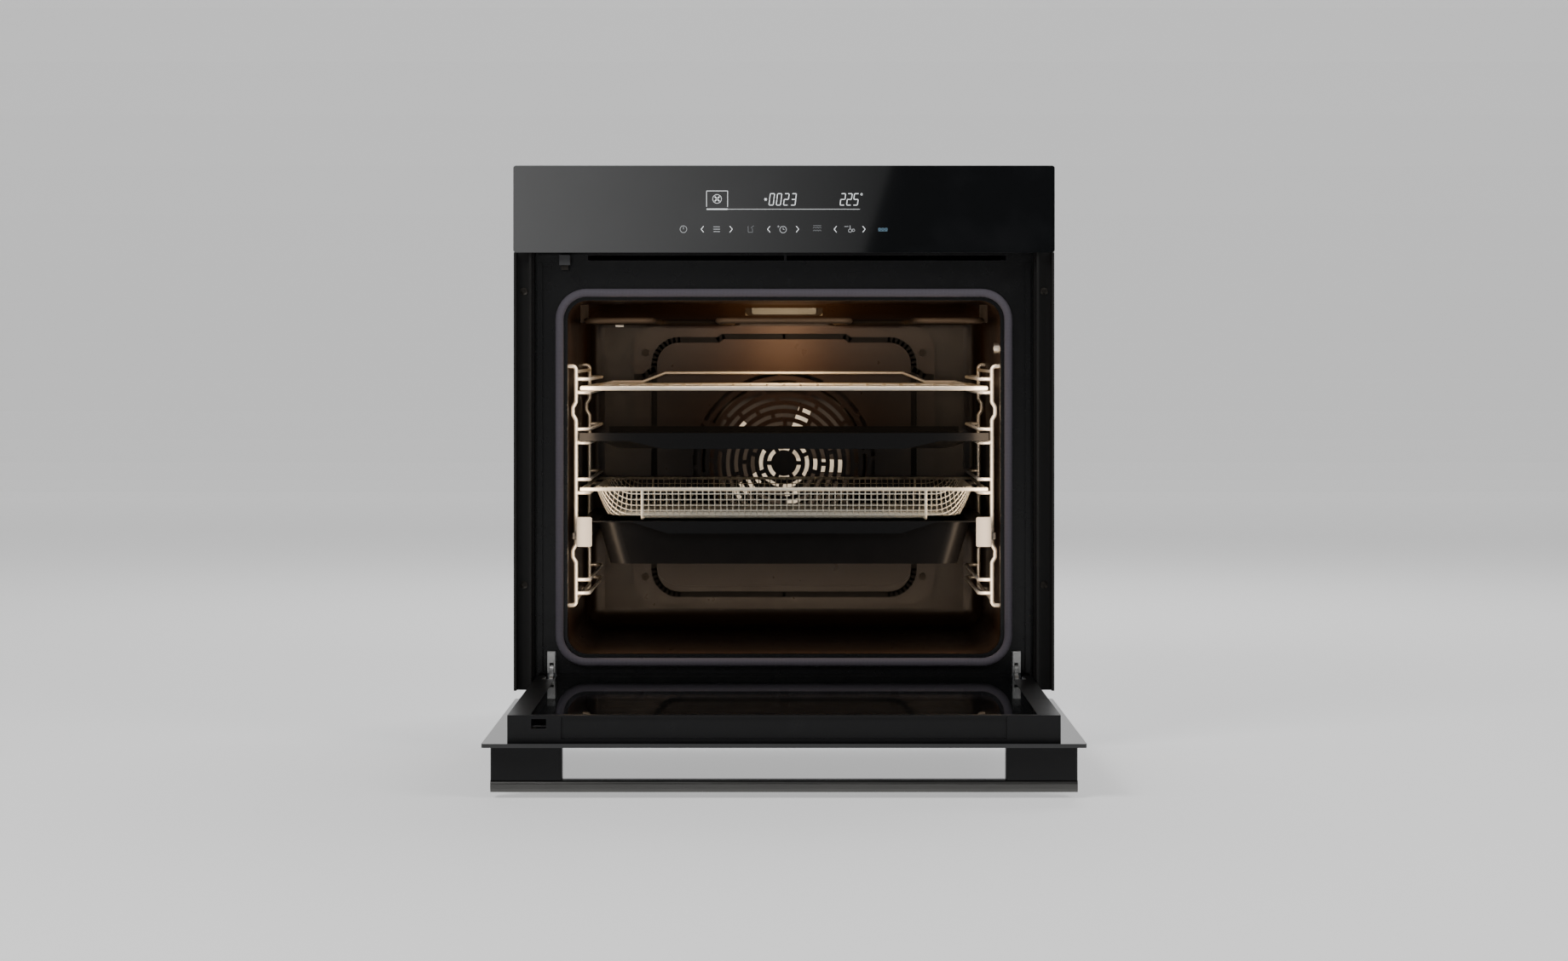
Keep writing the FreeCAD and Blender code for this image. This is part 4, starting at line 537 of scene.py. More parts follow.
@dataclass(frozen=True)
class Lit(Finish):
    """A printed figure lit from behind."""

    glow: float = 1.0

    def dress(self, paint: Paint) -> None:
        """Builds the finish's nodes.

        Args:
            paint: The material to build them in.
        """
        grain = paint.noise(3000.0, 1.0)
        dim = tuple(0.8 * part for part in self.colour)
        shade = paint.mix(grain, dim, self.colour)
        paint.set(Base_Color=shade, Emission_Color=shade, Roughness=self.roughness)
        paint.shader.inputs["Emission Strength"].default_value = self.glow


FINISHES: dict[str, Finish] = {
    "galvanised_sheet": Zinc("galvanised sheet", (0.66, 0.68, 0.7), 0.3),
    "black_enamel": Enamel("black enamel", (0.0055, 0.0055, 0.006), 0.2, (0.05, 0.05, 0.05)),
    "trim_coat": Coat("trim coat", (0.0085, 0.008, 0.0075), 0.36, (0.024, 0.022, 0.02)),
    "cavity_enamel": Enamel("cavity enamel", (0.02, 0.0105, 0.0058), 0.24, (0.07, 0.045, 0.03)),
    "gasket_knit": Knit("gasket knit", (0.032, 0.028, 0.036), 0.9, (0.14, 0.125, 0.15)),
    "mineral_wool": Wool("mineral wool", (0.36, 0.3, 0.2), 0.95),
    "zinc_screw": Brushed("zinc screw", (0.6, 0.6, 0.58), 0.28, (0.3, 0.3, 0.29), Axis.Y),
    "fan_metal": Brushed("fan metal", (0.85, 0.8, 0.72), 0.4, (0.62, 0.58, 0.52), Axis.Z, metallic=0.35),
    "heater_tube": Coat("heater tube", (0.016, 0.012, 0.009), 0.5, (0.04, 0.028, 0.02), 700.0,
                        specular=0.12),
    "lamp_glass": Moulded("lamp glass", (0.035, 0.037, 0.027), 0.16, (0.06, 0.06, 0.045), 120.0),
    "ceramic_white": Moulded("white ceramic", (0.75, 0.73, 0.68), 0.45, (0.86, 0.84, 0.8)),
    "rack_chrome": Wire("rack chrome", (0.88, 0.84, 0.77), 0.24, (0.7, 0.6, 0.46), 0.55),
    "runner_steel": Brushed("runner steel", (0.2, 0.2, 0.2), 0.42, (0.14, 0.14, 0.14), Axis.Y,
                            metallic=0.8),
    "tray_enamel": Enamel("tray enamel", (0.006, 0.006, 0.0065), 0.3, (0.05, 0.05, 0.05), 3200.0,
                          specular=0.14),
    "basket_wire": Wire("basket wire", (0.9, 0.85, 0.72), 0.3, (0.74, 0.64, 0.48), 0.35),
    "panel_glass": Glass("panel glass", (0.004, 0.0045, 0.005), 0.035),
    "carrier_plastic": Moulded("carrier plastic", (0.03, 0.03, 0.032), 0.5, (0.06, 0.06, 0.064)),
    "board_green": Board("board green", (0.012, 0.11, 0.04), 0.35),
    "lock_plastic": Moulded("lock plastic", (0.028, 0.028, 0.03), 0.45, (0.06, 0.06, 0.06)),
    "hinge_zinc": Brushed("hinge zinc", (0.74, 0.74, 0.72), 0.26, (0.5, 0.5, 0.5), Axis.Y),
    "door_glass": Glass("door glass", (0.004, 0.0045, 0.005), 0.03),
    "clear_glass": Glass("clear glass", (0.006, 0.007, 0.007), 0.02, 0.55),
    "door_frame": Coat("door frame", (0.006, 0.006, 0.0065), 0.24, (0.016, 0.016, 0.017)),
    "handle_metal": Brushed("handle metal", (0.14, 0.138, 0.133), 0.3, (0.07, 0.069, 0.066), Axis.X),
    "handle_block": Coat("handle block", (0.004, 0.004, 0.0045), 0.26, (0.012, 0.012, 0.012)),
    "figure_white": Lit("figure white", (0.85, 0.88, 0.9), 0.5, 1.1),
    "figure_dim": Lit("figure dim", (0.5, 0.52, 0.54), 0.5, 0.42),
    "figure_faint": Lit("figure faint", (0.2, 0.21, 0.22), 0.5, 0.3),
    "figure_blue": Lit("figure blue", (0.12, 0.22, 0.3), 0.5, 0.7),
    "dark_screw": Brushed("dark screw", (0.05, 0.045, 0.04), 0.4, (0.02, 0.018, 0.016), Axis.Y),
    # groove shade: near-black finish of the strip that paints the shadow of the fan cover's groove.
    "groove_shade": Enamel("groove shade", (0.0012, 0.001, 0.001), 0.5, (0.01, 0.008, 0.006)),
}
NODE_FINISHES: dict[str, str] = {"fan_cover_screws": "dark_screw", "lock_bolt": "dark_screw"}


class Shape:
    """A mesh under construction, shaped by mesh operators only."""

    def __init__(self) -> None:
        """Starts an empty mesh."""
        self.bm = bmesh.new()

    def block(self, low: Place, high: Place) -> None:
        """Adds an upright block.

        Args:
            low: Its lowest corner.
            high: Its highest corner.
        """
        low, high = Vector(low), Vector(high)
        made = bmesh.ops.create_cube(self.bm, size=1.0)["verts"]
        bmesh.ops.scale(self.bm, vec=high - low, verts=made)
        bmesh.ops.translate(self.bm, vec=(low + high) / 2.0, verts=made)

    def bar(self, start: Vector | Place, end: Vector | Place, width: float, depth: float) -> None:
        """Adds a straight bar of rectangular section across the XZ plane.

        Args:
            start: The middle of one end.
            end: The middle of the other.
            width: Its width in the XZ plane.
            depth: Its thickness along Y.
        """
        start, end = Vector(start), Vector(end)
        run = end - start
        made = bmesh.ops.create_cube(self.bm, size=1.0)["verts"]
        bmesh.ops.scale(self.bm, vec=(run.length, depth, width), verts=made)
        turn = Matrix.Rotation(-math.atan2(run.z, run.x), 4, "Y")
        bmesh.ops.transform(self.bm, matrix=Matrix.Translation((start + end) / 2.0) @ turn, verts=made)

    def arc(self, centre: Vector, radius: float, width: float, depth: float,
            sweep: float = 360.0, steps: int = 28) -> None:
        """Adds a flat ring or part of one, facing along Y.

        Args:
            centre: Its middle.
            radius: The radius of its centre line.
            width: Its width in the XZ plane.
            depth: Its thickness along Y.
            sweep: How far it turns from its right end, in degrees.
            steps: The number of facets.
        """
        centre = Vector(centre)
        made = bmesh.ops.create_cube(self.bm, size=1.0)["verts"]
        bmesh.ops.scale(self.bm, vec=(width, depth, 1e-6), verts=made)
        bmesh.ops.translate(self.bm, vec=centre + Vector((radius, 0.0, 0.0)), verts=made)
        bmesh.ops.remove_doubles(self.bm, verts=made, dist=1e-5)
        live = [vert for vert in made if vert.is_valid]
        faces = list({face for vert in live for face in vert.link_faces})
        if faces[1:]:
            bmesh.ops.delete(self.bm, geom=faces[1:], context="FACES_ONLY")
        edges = list({edge for vert in live for edge in vert.link_edges})
        bmesh.ops.spin(self.bm, geom=[faces[0], *edges, *live], cent=centre, axis=(0.0, 1.0, 0.0),
                       angle=-math.radians(sweep), steps=steps, use_merge=sweep >= 360.0)

    def edges_past(self, depth: float) -> list[bmesh.types.BMEdge]:
        """Finds the edges that lie at the back.

        Args:
            depth: How far back they lie, within a hundredth.

        Returns:
            The edges.
        """
        return [edge for edge in self.bm.edges if all(vert.co.y > depth - 0.01 for vert in edge.verts)]

    def place(self, name: str, material: bpy.types.Material) -> bpy.types.Object:
        """Turns the mesh into an object of the scene.

        Args:
            name: The object's name.
            material: What it wears.

        Returns:
            The object.
        """
        mesh = bpy.data.meshes.new(name)
        self.bm.to_mesh(mesh)
        self.bm.free()
        mesh.materials.append(material)
        placed = bpy.data.objects.new(name, mesh)
        bpy.context.scene.collection.objects.link(placed)
        return placed

    def piece(self, name: str, finish: str, body: str, slot: str,
              smooth: bool = False) -> bpy.types.Object:
        """Turns the mesh into a finished piece.

        Args:
            name: The piece's name.
            finish: The finish it wears.
            body: The body it rides on.
            slot: The record's material slot; not used.
            smooth: Whether its faces shade smoothly.

        Returns:
            The piece.
        """
        bmesh.ops.recalc_face_normals(self.bm, faces=self.bm.faces[:])
        for face in self.bm.faces:
            face.smooth = smooth
        piece = self.place(name, FINISHES[finish].material())
        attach(piece, body)
        return piece




SEGMENTS: dict[str, str] = {"0": "abcdef", "2": "abged", "3": "abgcd", "5": "afgcd"}


@dataclass
class PanelFigures:
    """The display's digits and the touch symbols on the control glass.

    Places along X are in millimetres from the oven's middle, and heights are in metres.
    """

    face: float = -0.0210
    lift: float = 0.00012
    digit_height: float = 0.0125
    digit_width: float = 0.0047
    stroke: float = 0.0008
    lean: float = 0.12
    display_level: float = 0.5568
    clock_left: float = -15.8
    clock_step: float = 8.0
    star: float = -20.2
    heat_left: float = 62.3
    heat_step: float = 7.2
    degree: float = 85.2
    mode_left: float = -85.0
    mode_right: float = -62.0
    mode_foot: float = 0.5486
    mode_top: float = 0.5660
    line_level: float = 0.5460
    line_end: float = 83.4
    symbol_level: float = 0.5240
    power: float = -110.5
    rows_left: float = -77.6
    rows_right: float = -70.4
    clock: float = -1.0
    plus: float = -6.2
    probe: float = 72.6
    note_left: float = -39.4
    steam_left: float = 33.4
    link_left: float = 103.6
    hair: float = 0.0004
    thin: float = 0.0005
    plain: float = 0.0006

    @property
    def depth(self) -> float:
        """Returns the thickness of every figure."""
        return 2.0 * self.lift

    def build(self) -> list[bpy.types.Object]:
        """Builds every figure.

        Returns:
            The pieces.
        """
        return [self.display(), self.arrows(), self.symbols(), self.faint_symbols(), self.link_mark()]

    def at(self, x: float, z: float) -> Vector:
        """Returns a point on the glass, for millimetres along X and metres up."""
        return Vector((x * MM, self.face, z))

    def dash(self, shape: Shape, left: float, right: float, level: float, width: float) -> None:
        """Adds one level stroke.

        Args:
            shape: The mesh to add to.
            left: Its left end, in millimetres.
            right: Its right end, in millimetres.
            level: Its height.
            width: Its width.
        """
        shape.bar(self.at(left, level), self.at(right, level), width, self.depth)

    def digit(self, shape: Shape, figure: str, left: float, middle: float) -> None:
        """Adds one leaning digit of seven bars.

        Args:
            shape: The mesh to add to.
            figure: The digit.
            left: Its left side, in millimetres.
            middle: The height of its middle.
        """
        width, half = self.digit_width, self.digit_height / 2.0
        x0 = left * MM
        gap = self.stroke * 0.35
        ends = {
            "a": ((gap, half), (width - gap, half)), "g": ((gap, 0.0), (width - gap, 0.0)),
            "d": ((gap, -half), (width - gap, -half)),
            "f": ((0.0, gap), (0.0, half - gap)), "b": ((width, gap), (width, half - gap)),
            "e": ((0.0, -half + gap), (0.0, -gap)), "c": ((width, -half + gap), (width, -gap)),
        }
        for letter in SEGMENTS[figure]:
            (ax, az), (bx, bz) = ends[letter]
            shape.bar((x0 + ax + self.lean * az, self.face, middle + az),
                      (x0 + bx + self.lean * bz, self.face, middle + bz), self.stroke, self.depth)

    def mode_mark(self, shape: Shape) -> None:
        """Adds the framed fan mark.

        Args:
            shape: The mesh to add to.
        """
        left, right, low, high = self.mode_left, self.mode_right, self.mode_foot, self.mode_top
        self.dash(shape, left, right, high, self.thin)
        for x in (left, right):
            shape.bar(self.at(x, low), self.at(x, high), self.thin, self.depth)
        middle = self.at((left + right) / 2.0, (low + high) / 2.0)
        shape.arc(middle, 0.0048, self.hair, self.depth, steps=24)
        for turn in range(4):
            angle = math.pi / 4.0 + turn * math.pi / 2.0
            out = Vector((math.cos(angle), 0.0, math.sin(angle)))
            shape.bar(middle + out * 0.0008, middle + out * 0.0036, 0.0011, self.depth)

    def display(self) -> bpy.types.Object:
        """Builds the clock, the temperature, the mode mark and their line.

        Returns:
            The piece.
        """
        shape = Shape()
        for index, figure in enumerate("0023"):
            self.digit(shape, figure, self.clock_left + self.clock_step * index, self.display_level)
        for index, figure in enumerate("225"):
            self.digit(shape, figure, self.heat_left + self.heat_step * index, self.display_level)
        shape.arc(self.at(self.degree, self.display_level + 0.0056), 0.0010, self.hair, self.depth, steps=12)
        star = self.at(self.star, self.display_level)
        for turn in range(3):
            angle = turn * math.pi / 3.0
            tip = Vector((math.cos(angle), 0.0, math.sin(angle))) * 0.0017
            shape.bar(star - tip, star + tip, self.thin, self.depth)
        self.mode_mark(shape)
        self.dash(shape, self.mode_left, self.mode_right, self.line_level, 0.0011)
        self.dash(shape, self.mode_right, self.line_end, self.line_level, 0.00035)
        return shape.piece("display_figures", "figure_white", "housing", "panel_glass")

    def arrows(self) -> bpy.types.Object:
        """Builds the pairs of arrow marks.

        Returns:
            The piece.
        """
        shape = Shape()
        for x, way in ((-89.9, -1), (-58.0, 1), (-16.9, -1), (15.0, 1), (56.2, -1), (88.0, 1)):
            tip = self.at(x + 1.2 * way, self.symbol_level)
            for side in SIDES:
                shape.bar(tip, tip + Vector((-0.0028 * way, 0.0, 0.0034 * side)), self.plain, self.depth)
        return shape.piece("touch_arrows", "figure_white", "housing", "panel_glass")

    def clock_mark(self, shape: Shape) -> None:
        """Adds the clock with its hands and a plus.

        Args:
            shape: The mesh to add to.
        """
        middle = self.at(self.clock, self.symbol_level - 0.0004)
        shape.arc(middle, 0.0036, self.plain, self.depth)
        shape.bar(middle, middle + Vector((0.0, 0.0, 0.0022)), self.thin, self.depth)
        shape.bar(middle, middle + Vector((0.0016, 0.0, 0.0)), self.thin, self.depth)
        plus = self.at(self.plus, self.symbol_level + 0.0030)
        for arm in (Vector((0.0012, 0.0, 0.0)), Vector((0.0, 0.0, 0.0012))):
            shape.bar(plus - arm, plus + arm, self.hair, self.depth)

    def probe_mark(self, shape: Shape) -> None:
        """Adds the thermometer with its dash and its small ring.

        Args:
            shape: The mesh to add to.
        """
        level = self.symbol_level
        self.dash(shape, self.probe - 6.2, self.probe - 2.0, level + 0.0030, self.thin)
        shape.arc(self.at(self.probe, level - 0.0016), 0.0018, self.thin, self.depth, steps=16)
        shape.bar(self.at(self.probe, level), self.at(self.probe, level + 0.0040), 0.0008, self.depth)
        shape.arc(self.at(self.probe + 3.6, level - 0.0012), 0.0014, self.thin, self.depth, steps=14)

    def symbols(self) -> bpy.types.Object:
        """Builds the power ring and the list, clock and temperature marks.

        Returns:
            The piece.
        """
        shape, level = Shape(), self.symbol_level
        shape.arc(self.at(self.power, level), 0.0037, self.thin, self.depth)
        shape.bar(self.at(self.power, level), self.at(self.power, level + 0.0024), self.thin, self.depth)
        for row in (-0.0026, 0.0, 0.0026):
            self.dash(shape, self.rows_left, self.rows_right, level + row, self.plain)
        self.clock_mark(shape)
        self.probe_mark(shape)
        return shape.piece("touch_symbols", "figure_dim", "housing", "panel_glass")

    def faint_symbols(self) -> bpy.types.Object:
        """Builds the note and steam marks that stay dim.

        Returns:
            The piece.
        """
        shape, level = Shape(), self.symbol_level
        left, foot = self.note_left, level - 0.0034
        note = [(left, foot), (left + 4.8, foot), (left + 4.8, level + 0.0010)]
        for a, b in zip(note, note[1:]):
            shape.bar(self.at(*a), self.at(*b), self.thin, self.depth)
        shape.bar(self.at(left, foot), self.at(left, level + 0.0034), self.thin, self.depth)
        pen = (self.at(left + 3.0, level + 0.0012), self.at(left + 6.2, level + 0.0040))
        shape.bar(*pen, self.thin, self.depth)
        for row in (-0.0022, 0.0010):
            for step in range(3):
                shape.arc(self.at(self.steam_left + 3.0 * step, level + row), 0.0013, self.thin, self.depth,
                          sweep=180.0, steps=8)
        self.dash(shape, self.steam_left - 1.4, self.steam_left + 7.6, level + 0.0040, self.thin)
        return shape.piece("touch_symbols_faint", "figure_faint", "housing", "panel_glass")

    def link_mark(self) -> bpy.types.Object:
        """Builds the small blue mark at the right end of the row.

        Returns:
            The piece.
        """
        shape, level = Shape(), self.symbol_level
        for step in range(3):
            middle = self.at(self.link_left + 1.4 + 3.6 * step, level)
            shape.arc(middle, 0.0012, self.plain, self.depth, steps=12)
        self.dash(shape, self.link_left, self.link_left + 10.0, level - 0.0020, self.hair)
        return shape.piece("link_mark", "figure_blue", "housing", "panel_glass")


def rounded_loop(shape: Shape, half: tuple[float, float], middle: Vector, corner: float,
                 profile: list[bmesh.types.BMVert], origin: Vector) -> None:
    """Draws a profile round a rounded rectangle that stands in the XZ plane.

    Args:
        shape: The mesh that holds the profile.
        half: Half the rectangle's width and height, on its centre line.
        middle: Its middle; not used.
        corner: The radius of its corners.
        profile: The profile's points, which lie at the foot of the right side.
        origin: The point of the centre line where the profile lies.
    """
    across, rise = 2 * (half[0] - corner), 2 * (half[1] - corner)
    runs = [(Vector((0, 0, 1)), rise), (Vector((-1, 0, 0)), across),
            (Vector((0, 0, -1)), rise), (Vector((1, 0, 0)), across)]
    ring = [*profile, *{edge for vert in profile for edge in vert.link_edges}]
    place = origin.copy()
    inward = Vector((-1, 0, 0))
    for direction, length in runs:
        edges = [part for part in ring if isinstance(part, bmesh.types.BMEdge)]
        ring = bmesh.ops.extrude_edge_only(shape.bm, edges=edges)["geom"]
        bmesh.ops.translate(shape.bm, vec=direction * length,
                            verts=[part for part in ring if isinstance(part, bmesh.types.BMVert)])
        place += direction * length
        ends = [part for part in ring if not isinstance(part, bmesh.types.BMFace)]
        ring = bmesh.ops.spin(shape.bm, geom=ends, cent=place + inward * corner, axis=(0, 1, 0),
                              angle=-math.pi / 2, steps=10)["geom_last"]
        place += inward * corner + direction * corner
        inward = -direction
    bmesh.ops.remove_doubles(shape.bm, verts=shape.bm.verts[:], dist=1e-5)


@dataclass
class DoorSeal:
    """The knitted seal round the mouth of the cavity."""

    corner: float = 0.030
    bead: float = 0.0046
    facets: int = 14

    def build(self) -> bpy.types.Object:
        """Builds the sleeve round the mouth.

        Returns:
            The piece.
        """
        low, high = (Vector(point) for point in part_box("door_gasket"))
        middle = (low + high) / 2.0
        half = ((high.x - low.x) / 2.0 - self.bead, (high.z - low.z) / 2.0 - self.bead)
        shape = Shape()
        start = Vector((half[0], low.y + self.bead, middle.z - half[1] + self.corner))
        made = bmesh.ops.create_circle(shape.bm, segments=self.facets, radius=self.bead,
                                       matrix=Matrix.Translation(start))["verts"]
        bmesh.ops.scale(shape.bm, vec=(1.0, (high.y - low.y) / (2.0 * self.bead), 1.0), verts=made,
                        space=Matrix.Translation(-start))
        bmesh.ops.translate(shape.bm, vec=(0.0, (high.y - low.y) / 2.0 - self.bead, 0.0), verts=made)
        rounded_loop(shape, half, middle, self.corner, made, start)
        seal = shape.piece("door_seal_sleeve", "gasket_knit", "housing", "gasket_knit", smooth=True)
        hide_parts("door_gasket")
        return seal


@dataclass
class FryBasket:
    """The woven wire body of the fry basket."""

    pitch: float = 0.0067
    wire: float = 0.0012
    floor_half: tuple[float, float] = (0.198, 0.150)
    corner: float = 0.03
    curl: float = 1.15
    merge: float = 0.0022

    def build(self) -> bpy.types.Object:
        """Presses a flat net into a dish and gives it its wires.

        Returns:
            The piece.
        """
        low, high = (Vector(point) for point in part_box("basket_mesh"))
        middle = (low + high) / 2.0
        rise = high.z - low.z - self.wire * 1.5
        out = (high.x - low.x) / 2.0 - self.floor_half[0] - self.wire
        wall = math.hypot(rise, out)
        reach = (self.floor_half[0] + wall, self.floor_half[1] + wall)
        shape = Shape()
        bmesh.ops.create_grid(shape.bm, x_segments=round(2 * reach[0] / self.pitch),
                              y_segments=round(2 * reach[1] / self.pitch), size=1.0)
        bmesh.ops.scale(shape.bm, vec=(reach[0], reach[1], 1.0), verts=shape.bm.verts[:])
        inner = (self.floor_half[0] - self.corner, self.floor_half[1] - self.corner)
        for vert in shape.bm.verts:
            core = Vector((*(max(-most, min(most, place)) for most, place in zip(inner, vert.co)), 0.0))
            away = vert.co - core
            past = away.length - self.corner
            if past > 0.0:
                climb = min(past / wall, 1.0)
                vert.co = core + away.normalized() * (self.corner + climb * out)
                vert.co.z = climb ** self.curl * rise
        bmesh.ops.remove_doubles(shape.bm, verts=shape.bm.verts[:], dist=self.merge)
        base = Vector((middle.x, middle.y, low.z + self.wire * 0.75))
        bmesh.ops.translate(shape.bm, vec=base, verts=shape.bm.verts[:])
        bmesh.ops.wireframe(shape.bm, faces=shape.bm.faces[:], thickness=self.wire, use_replace=True,
                            use_boundary=True, use_even_offset=True)
        basket = shape.piece("basket_net", "basket_wire", "fry_basket", "basket_wire")
        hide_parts("basket_mesh")
        return basket


@dataclass
class FanCoverGrooveShade:
    """A near-black strip laid in the groove pressed into the fan cover: painted shade standing in for the
    groove's shadow.
    """

    half: float = 0.157
    top: float = 0.4030
    crown: float = 0.4070
    crown_half: float = 0.0735
    foot: float = 0.0952
    corner: float = 0.030
    width: float = 0.0068
    thick: float = 0.0009
    face: float = 0.4046
    bend: float = 0.006
    spur: tuple[float, float] = (0.180, 0.358)
    steps: int = 8

    def outline(self) -> list[tuple[float, float]]:
        """Returns the right half of the groove's line, from top to bottom."""
        points = [(0.0, self.crown), (self.crown_half, self.crown), (self.crown_half + self.bend, self.top)]
        for middle, first in ((self.top - self.corner, math.pi / 2.0), (self.foot + self.corner, 0.0)):
            for step in range(self.steps + 1):
                angle = first - math.pi / 2.0 * step / self.steps
                points.append((self.half - self.corner + self.corner * math.cos(angle),
                               middle + self.corner * math.sin(angle)))
        return [*points, (0.0, self.foot)]

    def build(self) -> bpy.types.Object:
        """Builds both halves of the line and its spurs.

        Returns:
            The piece.
        """
        shape = Shape()
        spur = [(self.half, self.top - self.corner - self.bend),
                (self.half + self.bend, self.spur[1] + self.bend),
                (self.half + 2.0 * self.bend, self.spur[1] + 0.001), self.spur]
        for line in (self.outline(), spur):
            for (ax, az), (bx, bz) in zip(line, line[1:]):
                reach = Vector((bx - ax, 0.0, bz - az)).normalized() * self.width * 0.2
                for side in SIDES:
                    lap = Vector((side * reach.x, 0.0, reach.z))
                    start = Vector((side * ax, self.face, az)) - lap
                    end = Vector((side * bx, self.face, bz)) + lap
                    shape.bar(start, end, self.width, self.thick)
        # The strip along the groove line is painted shade, not a part of the cover.
        return shape.piece("fan_cover_groove_shade", "groove_shade", "housing", "cavity_enamel")


@dataclass
class NicheScrews:
    """The dark screws that hold the oven in its niche."""

    out: float = 0.287
    levels: tuple[float, float] = (0.132, 0.456)
    head: float = 0.0042
    neck: float = 0.55
    rim: float = 0.45
    thick: float = 0.0024
    face: float = -0.0022

    def build(self) -> bpy.types.Object:
        """Builds four tapered heads with a sunk middle.

        Returns:
            The piece.
        """
        shape = Shape()
        for side in SIDES:
            for level in self.levels:
                centre = Vector((side * self.out, self.face, level))
                turn = Matrix.Translation(centre) @ Matrix.Rotation(math.pi / 2.0, 4, "X")
                made = bmesh.ops.create_cone(shape.bm, cap_ends=True, segments=28,
                                             radius1=self.head * self.neck, radius2=self.head,
                                             depth=self.thick, matrix=turn)["verts"]
                top = [face for face in {f for v in made for f in v.link_faces} if face.normal.y < -0.9]
                bmesh.ops.inset_region(shape.bm, faces=top, thickness=self.head * self.rim,
                                       depth=-self.thick / 4.0)
        return shape.piece("niche_screw_heads", "dark_screw", "housing", "trim_coat")


@dataclass
class CarcassDetails:
    """The screws and pressed stiffening beads of the zinc carcass."""

    screw: float = 0.0038
    bead: float = 0.006
    proud: float = 0.0011
    rear_columns: tuple[float, ...] = (-0.262, -0.09, 0.09, 0.262)
    rear_ends: tuple[float, ...] = (0.014, 0.572)
    rear_rows: tuple[float, ...] = (0.16, 0.31, 0.44)
    side_screws: tuple[tuple[float, float], ...] = (
        (0.034, 0.02), (0.034, 0.565), (0.532, 0.02), (0.532, 0.565), (0.28, 0.012))
    side_beads: tuple[float, ...] = (0.12, 0.43)
    side_bead_span: tuple[float, float] = (0.07, 0.43)
    rear_beads: tuple[float, ...] = (0.10, 0.38)
    bead_half: float = 0.2
    roof_bead_span: tuple[float, float] = (0.07, 0.5)

    def head(self, shape: Shape, centre: Vector, outward: Vector) -> None:
        """Adds one domed screw head with a socket.

        Args:
            shape: The mesh to add to.
            centre: Where it sits on the sheet.
            outward: The direction it faces.
        """
        turn = outward.to_track_quat("Z", "Y").to_matrix().to_4x4()
        place = Matrix.Translation(centre + outward * self.proud) @ turn
        made = bmesh.ops.create_cone(shape.bm, cap_ends=True, segments=20, radius1=self.screw,
                                     radius2=self.screw * 0.7, depth=2.0 * self.proud, matrix=place)["verts"]
        top = [face for face in {f for v in made for f in v.link_faces}
               if len(face.verts) > 4 and (face.calc_center_median() - centre).dot(outward) > self.proud]
        bmesh.ops.inset_region(shape.bm, faces=top, thickness=self.screw * 0.3, depth=-self.proud * 0.6)

    def rib(self, shape: Shape, low: Place, high: Place) -> None:
        """Adds one pressed bead with rounded edges.

        Args:
            shape: The mesh to add to.
            low: Its lowest corner.
            high: Its highest corner.
        """
        before = set(shape.bm.edges)
        shape.block(low, high)
        fresh = [edge for edge in shape.bm.edges if edge not in before]
        bmesh.ops.bevel(shape.bm, geom=fresh, offset=self.proud * 0.8, offset_type="OFFSET", segments=2,
                        profile=0.5, affect="EDGES", material=-1)

    def build(self) -> list[bpy.types.Object]:
        """Builds the screws and the beads.

        Returns:
            The pieces.
        """
        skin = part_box("side_panels")[1][0]
        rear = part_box("rear_cover")[1][1]
        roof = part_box("top_cover")[1][2]
        proud, half = self.proud, self.bead_half
        screws, beads = Shape(), Shape()
        spots = [(x, z) for x in self.rear_columns for z in self.rear_ends]
        spots += [(x, z) for z in self.rear_rows for x in (self.rear_columns[0], self.rear_columns[-1])]
        for x, z in spots:
            self.head(screws, Vector((x, rear, z)), Vector((0.0, 1.0, 0.0)))
        for side in SIDES:
            edge = skin * side
            for y, z in self.side_screws:
                self.head(screws, Vector((edge, y, z)), Vector((side, 0.0, 0.0)))
            foot, top = self.side_bead_span
            for y in self.side_beads:
                self.rib(beads, (edge - proud, y, foot), (edge + proud, y + self.bead, top))
        for z in self.rear_beads:
            self.rib(beads, (-half, rear - proud, z), (half, rear + proud, z + self.bead))
        front, back = self.roof_bead_span
        for x in (-half, half):
            self.rib(beads, (x, front, roof - proud), (x + self.bead, back, roof + proud))
        return [screws.piece("carcass_screws", "zinc_screw", "housing", "zinc_screw"),
                beads.piece("carcass_beads", "galvanised_sheet", "housing", "galvanised_sheet")]


@dataclass
class CarriedSolids:
    """The frame's own solids, which only get their finishes."""

    nodes: dict[str, bpy.types.Object]
    record: dict[str, Any]

    def dress(self) -> int:
        """Gives each solid the finish of its slot.

        Returns:
            How many were dressed.
        """
        slots = {part["node"]: part["material_slot"] for part in self.record["subparts"]}
        for name, node in self.nodes.items():
            material = FINISHES[NODE_FINISHES.get(name, slots[name])].material()
            if not node.material_slots:
                node.data.materials.append(material)
            for socket in node.material_slots:
                socket.material = material
        return len(self.nodes)


@dataclass(frozen=True)
class Lamp:
    """One rectangular lamp, invisible to the camera."""

    name: str
    place: Place
    target: Place
    size: tuple[float, float]
    power: float
    colour: Colour = (1.0, 1.0, 1.0)

    def hang(self) -> None:
        """Hangs the lamp so that it looks at its target."""
        light = bpy.data.lights.new(self.name, "AREA")
        light.shape = "RECTANGLE"
        light.size, light.size_y = self.size
        light.energy, light.color = self.power, self.colour
        lamp = bpy.data.objects.new(self.name, light)
        lamp.location = self.place
        lamp.rotation_euler = (Vector(self.target) - Vector(self.place)).to_track_quat("-Z", "Y").to_euler()
        lamp.visible_camera = False
        bpy.context.scene.collection.objects.link(lamp)


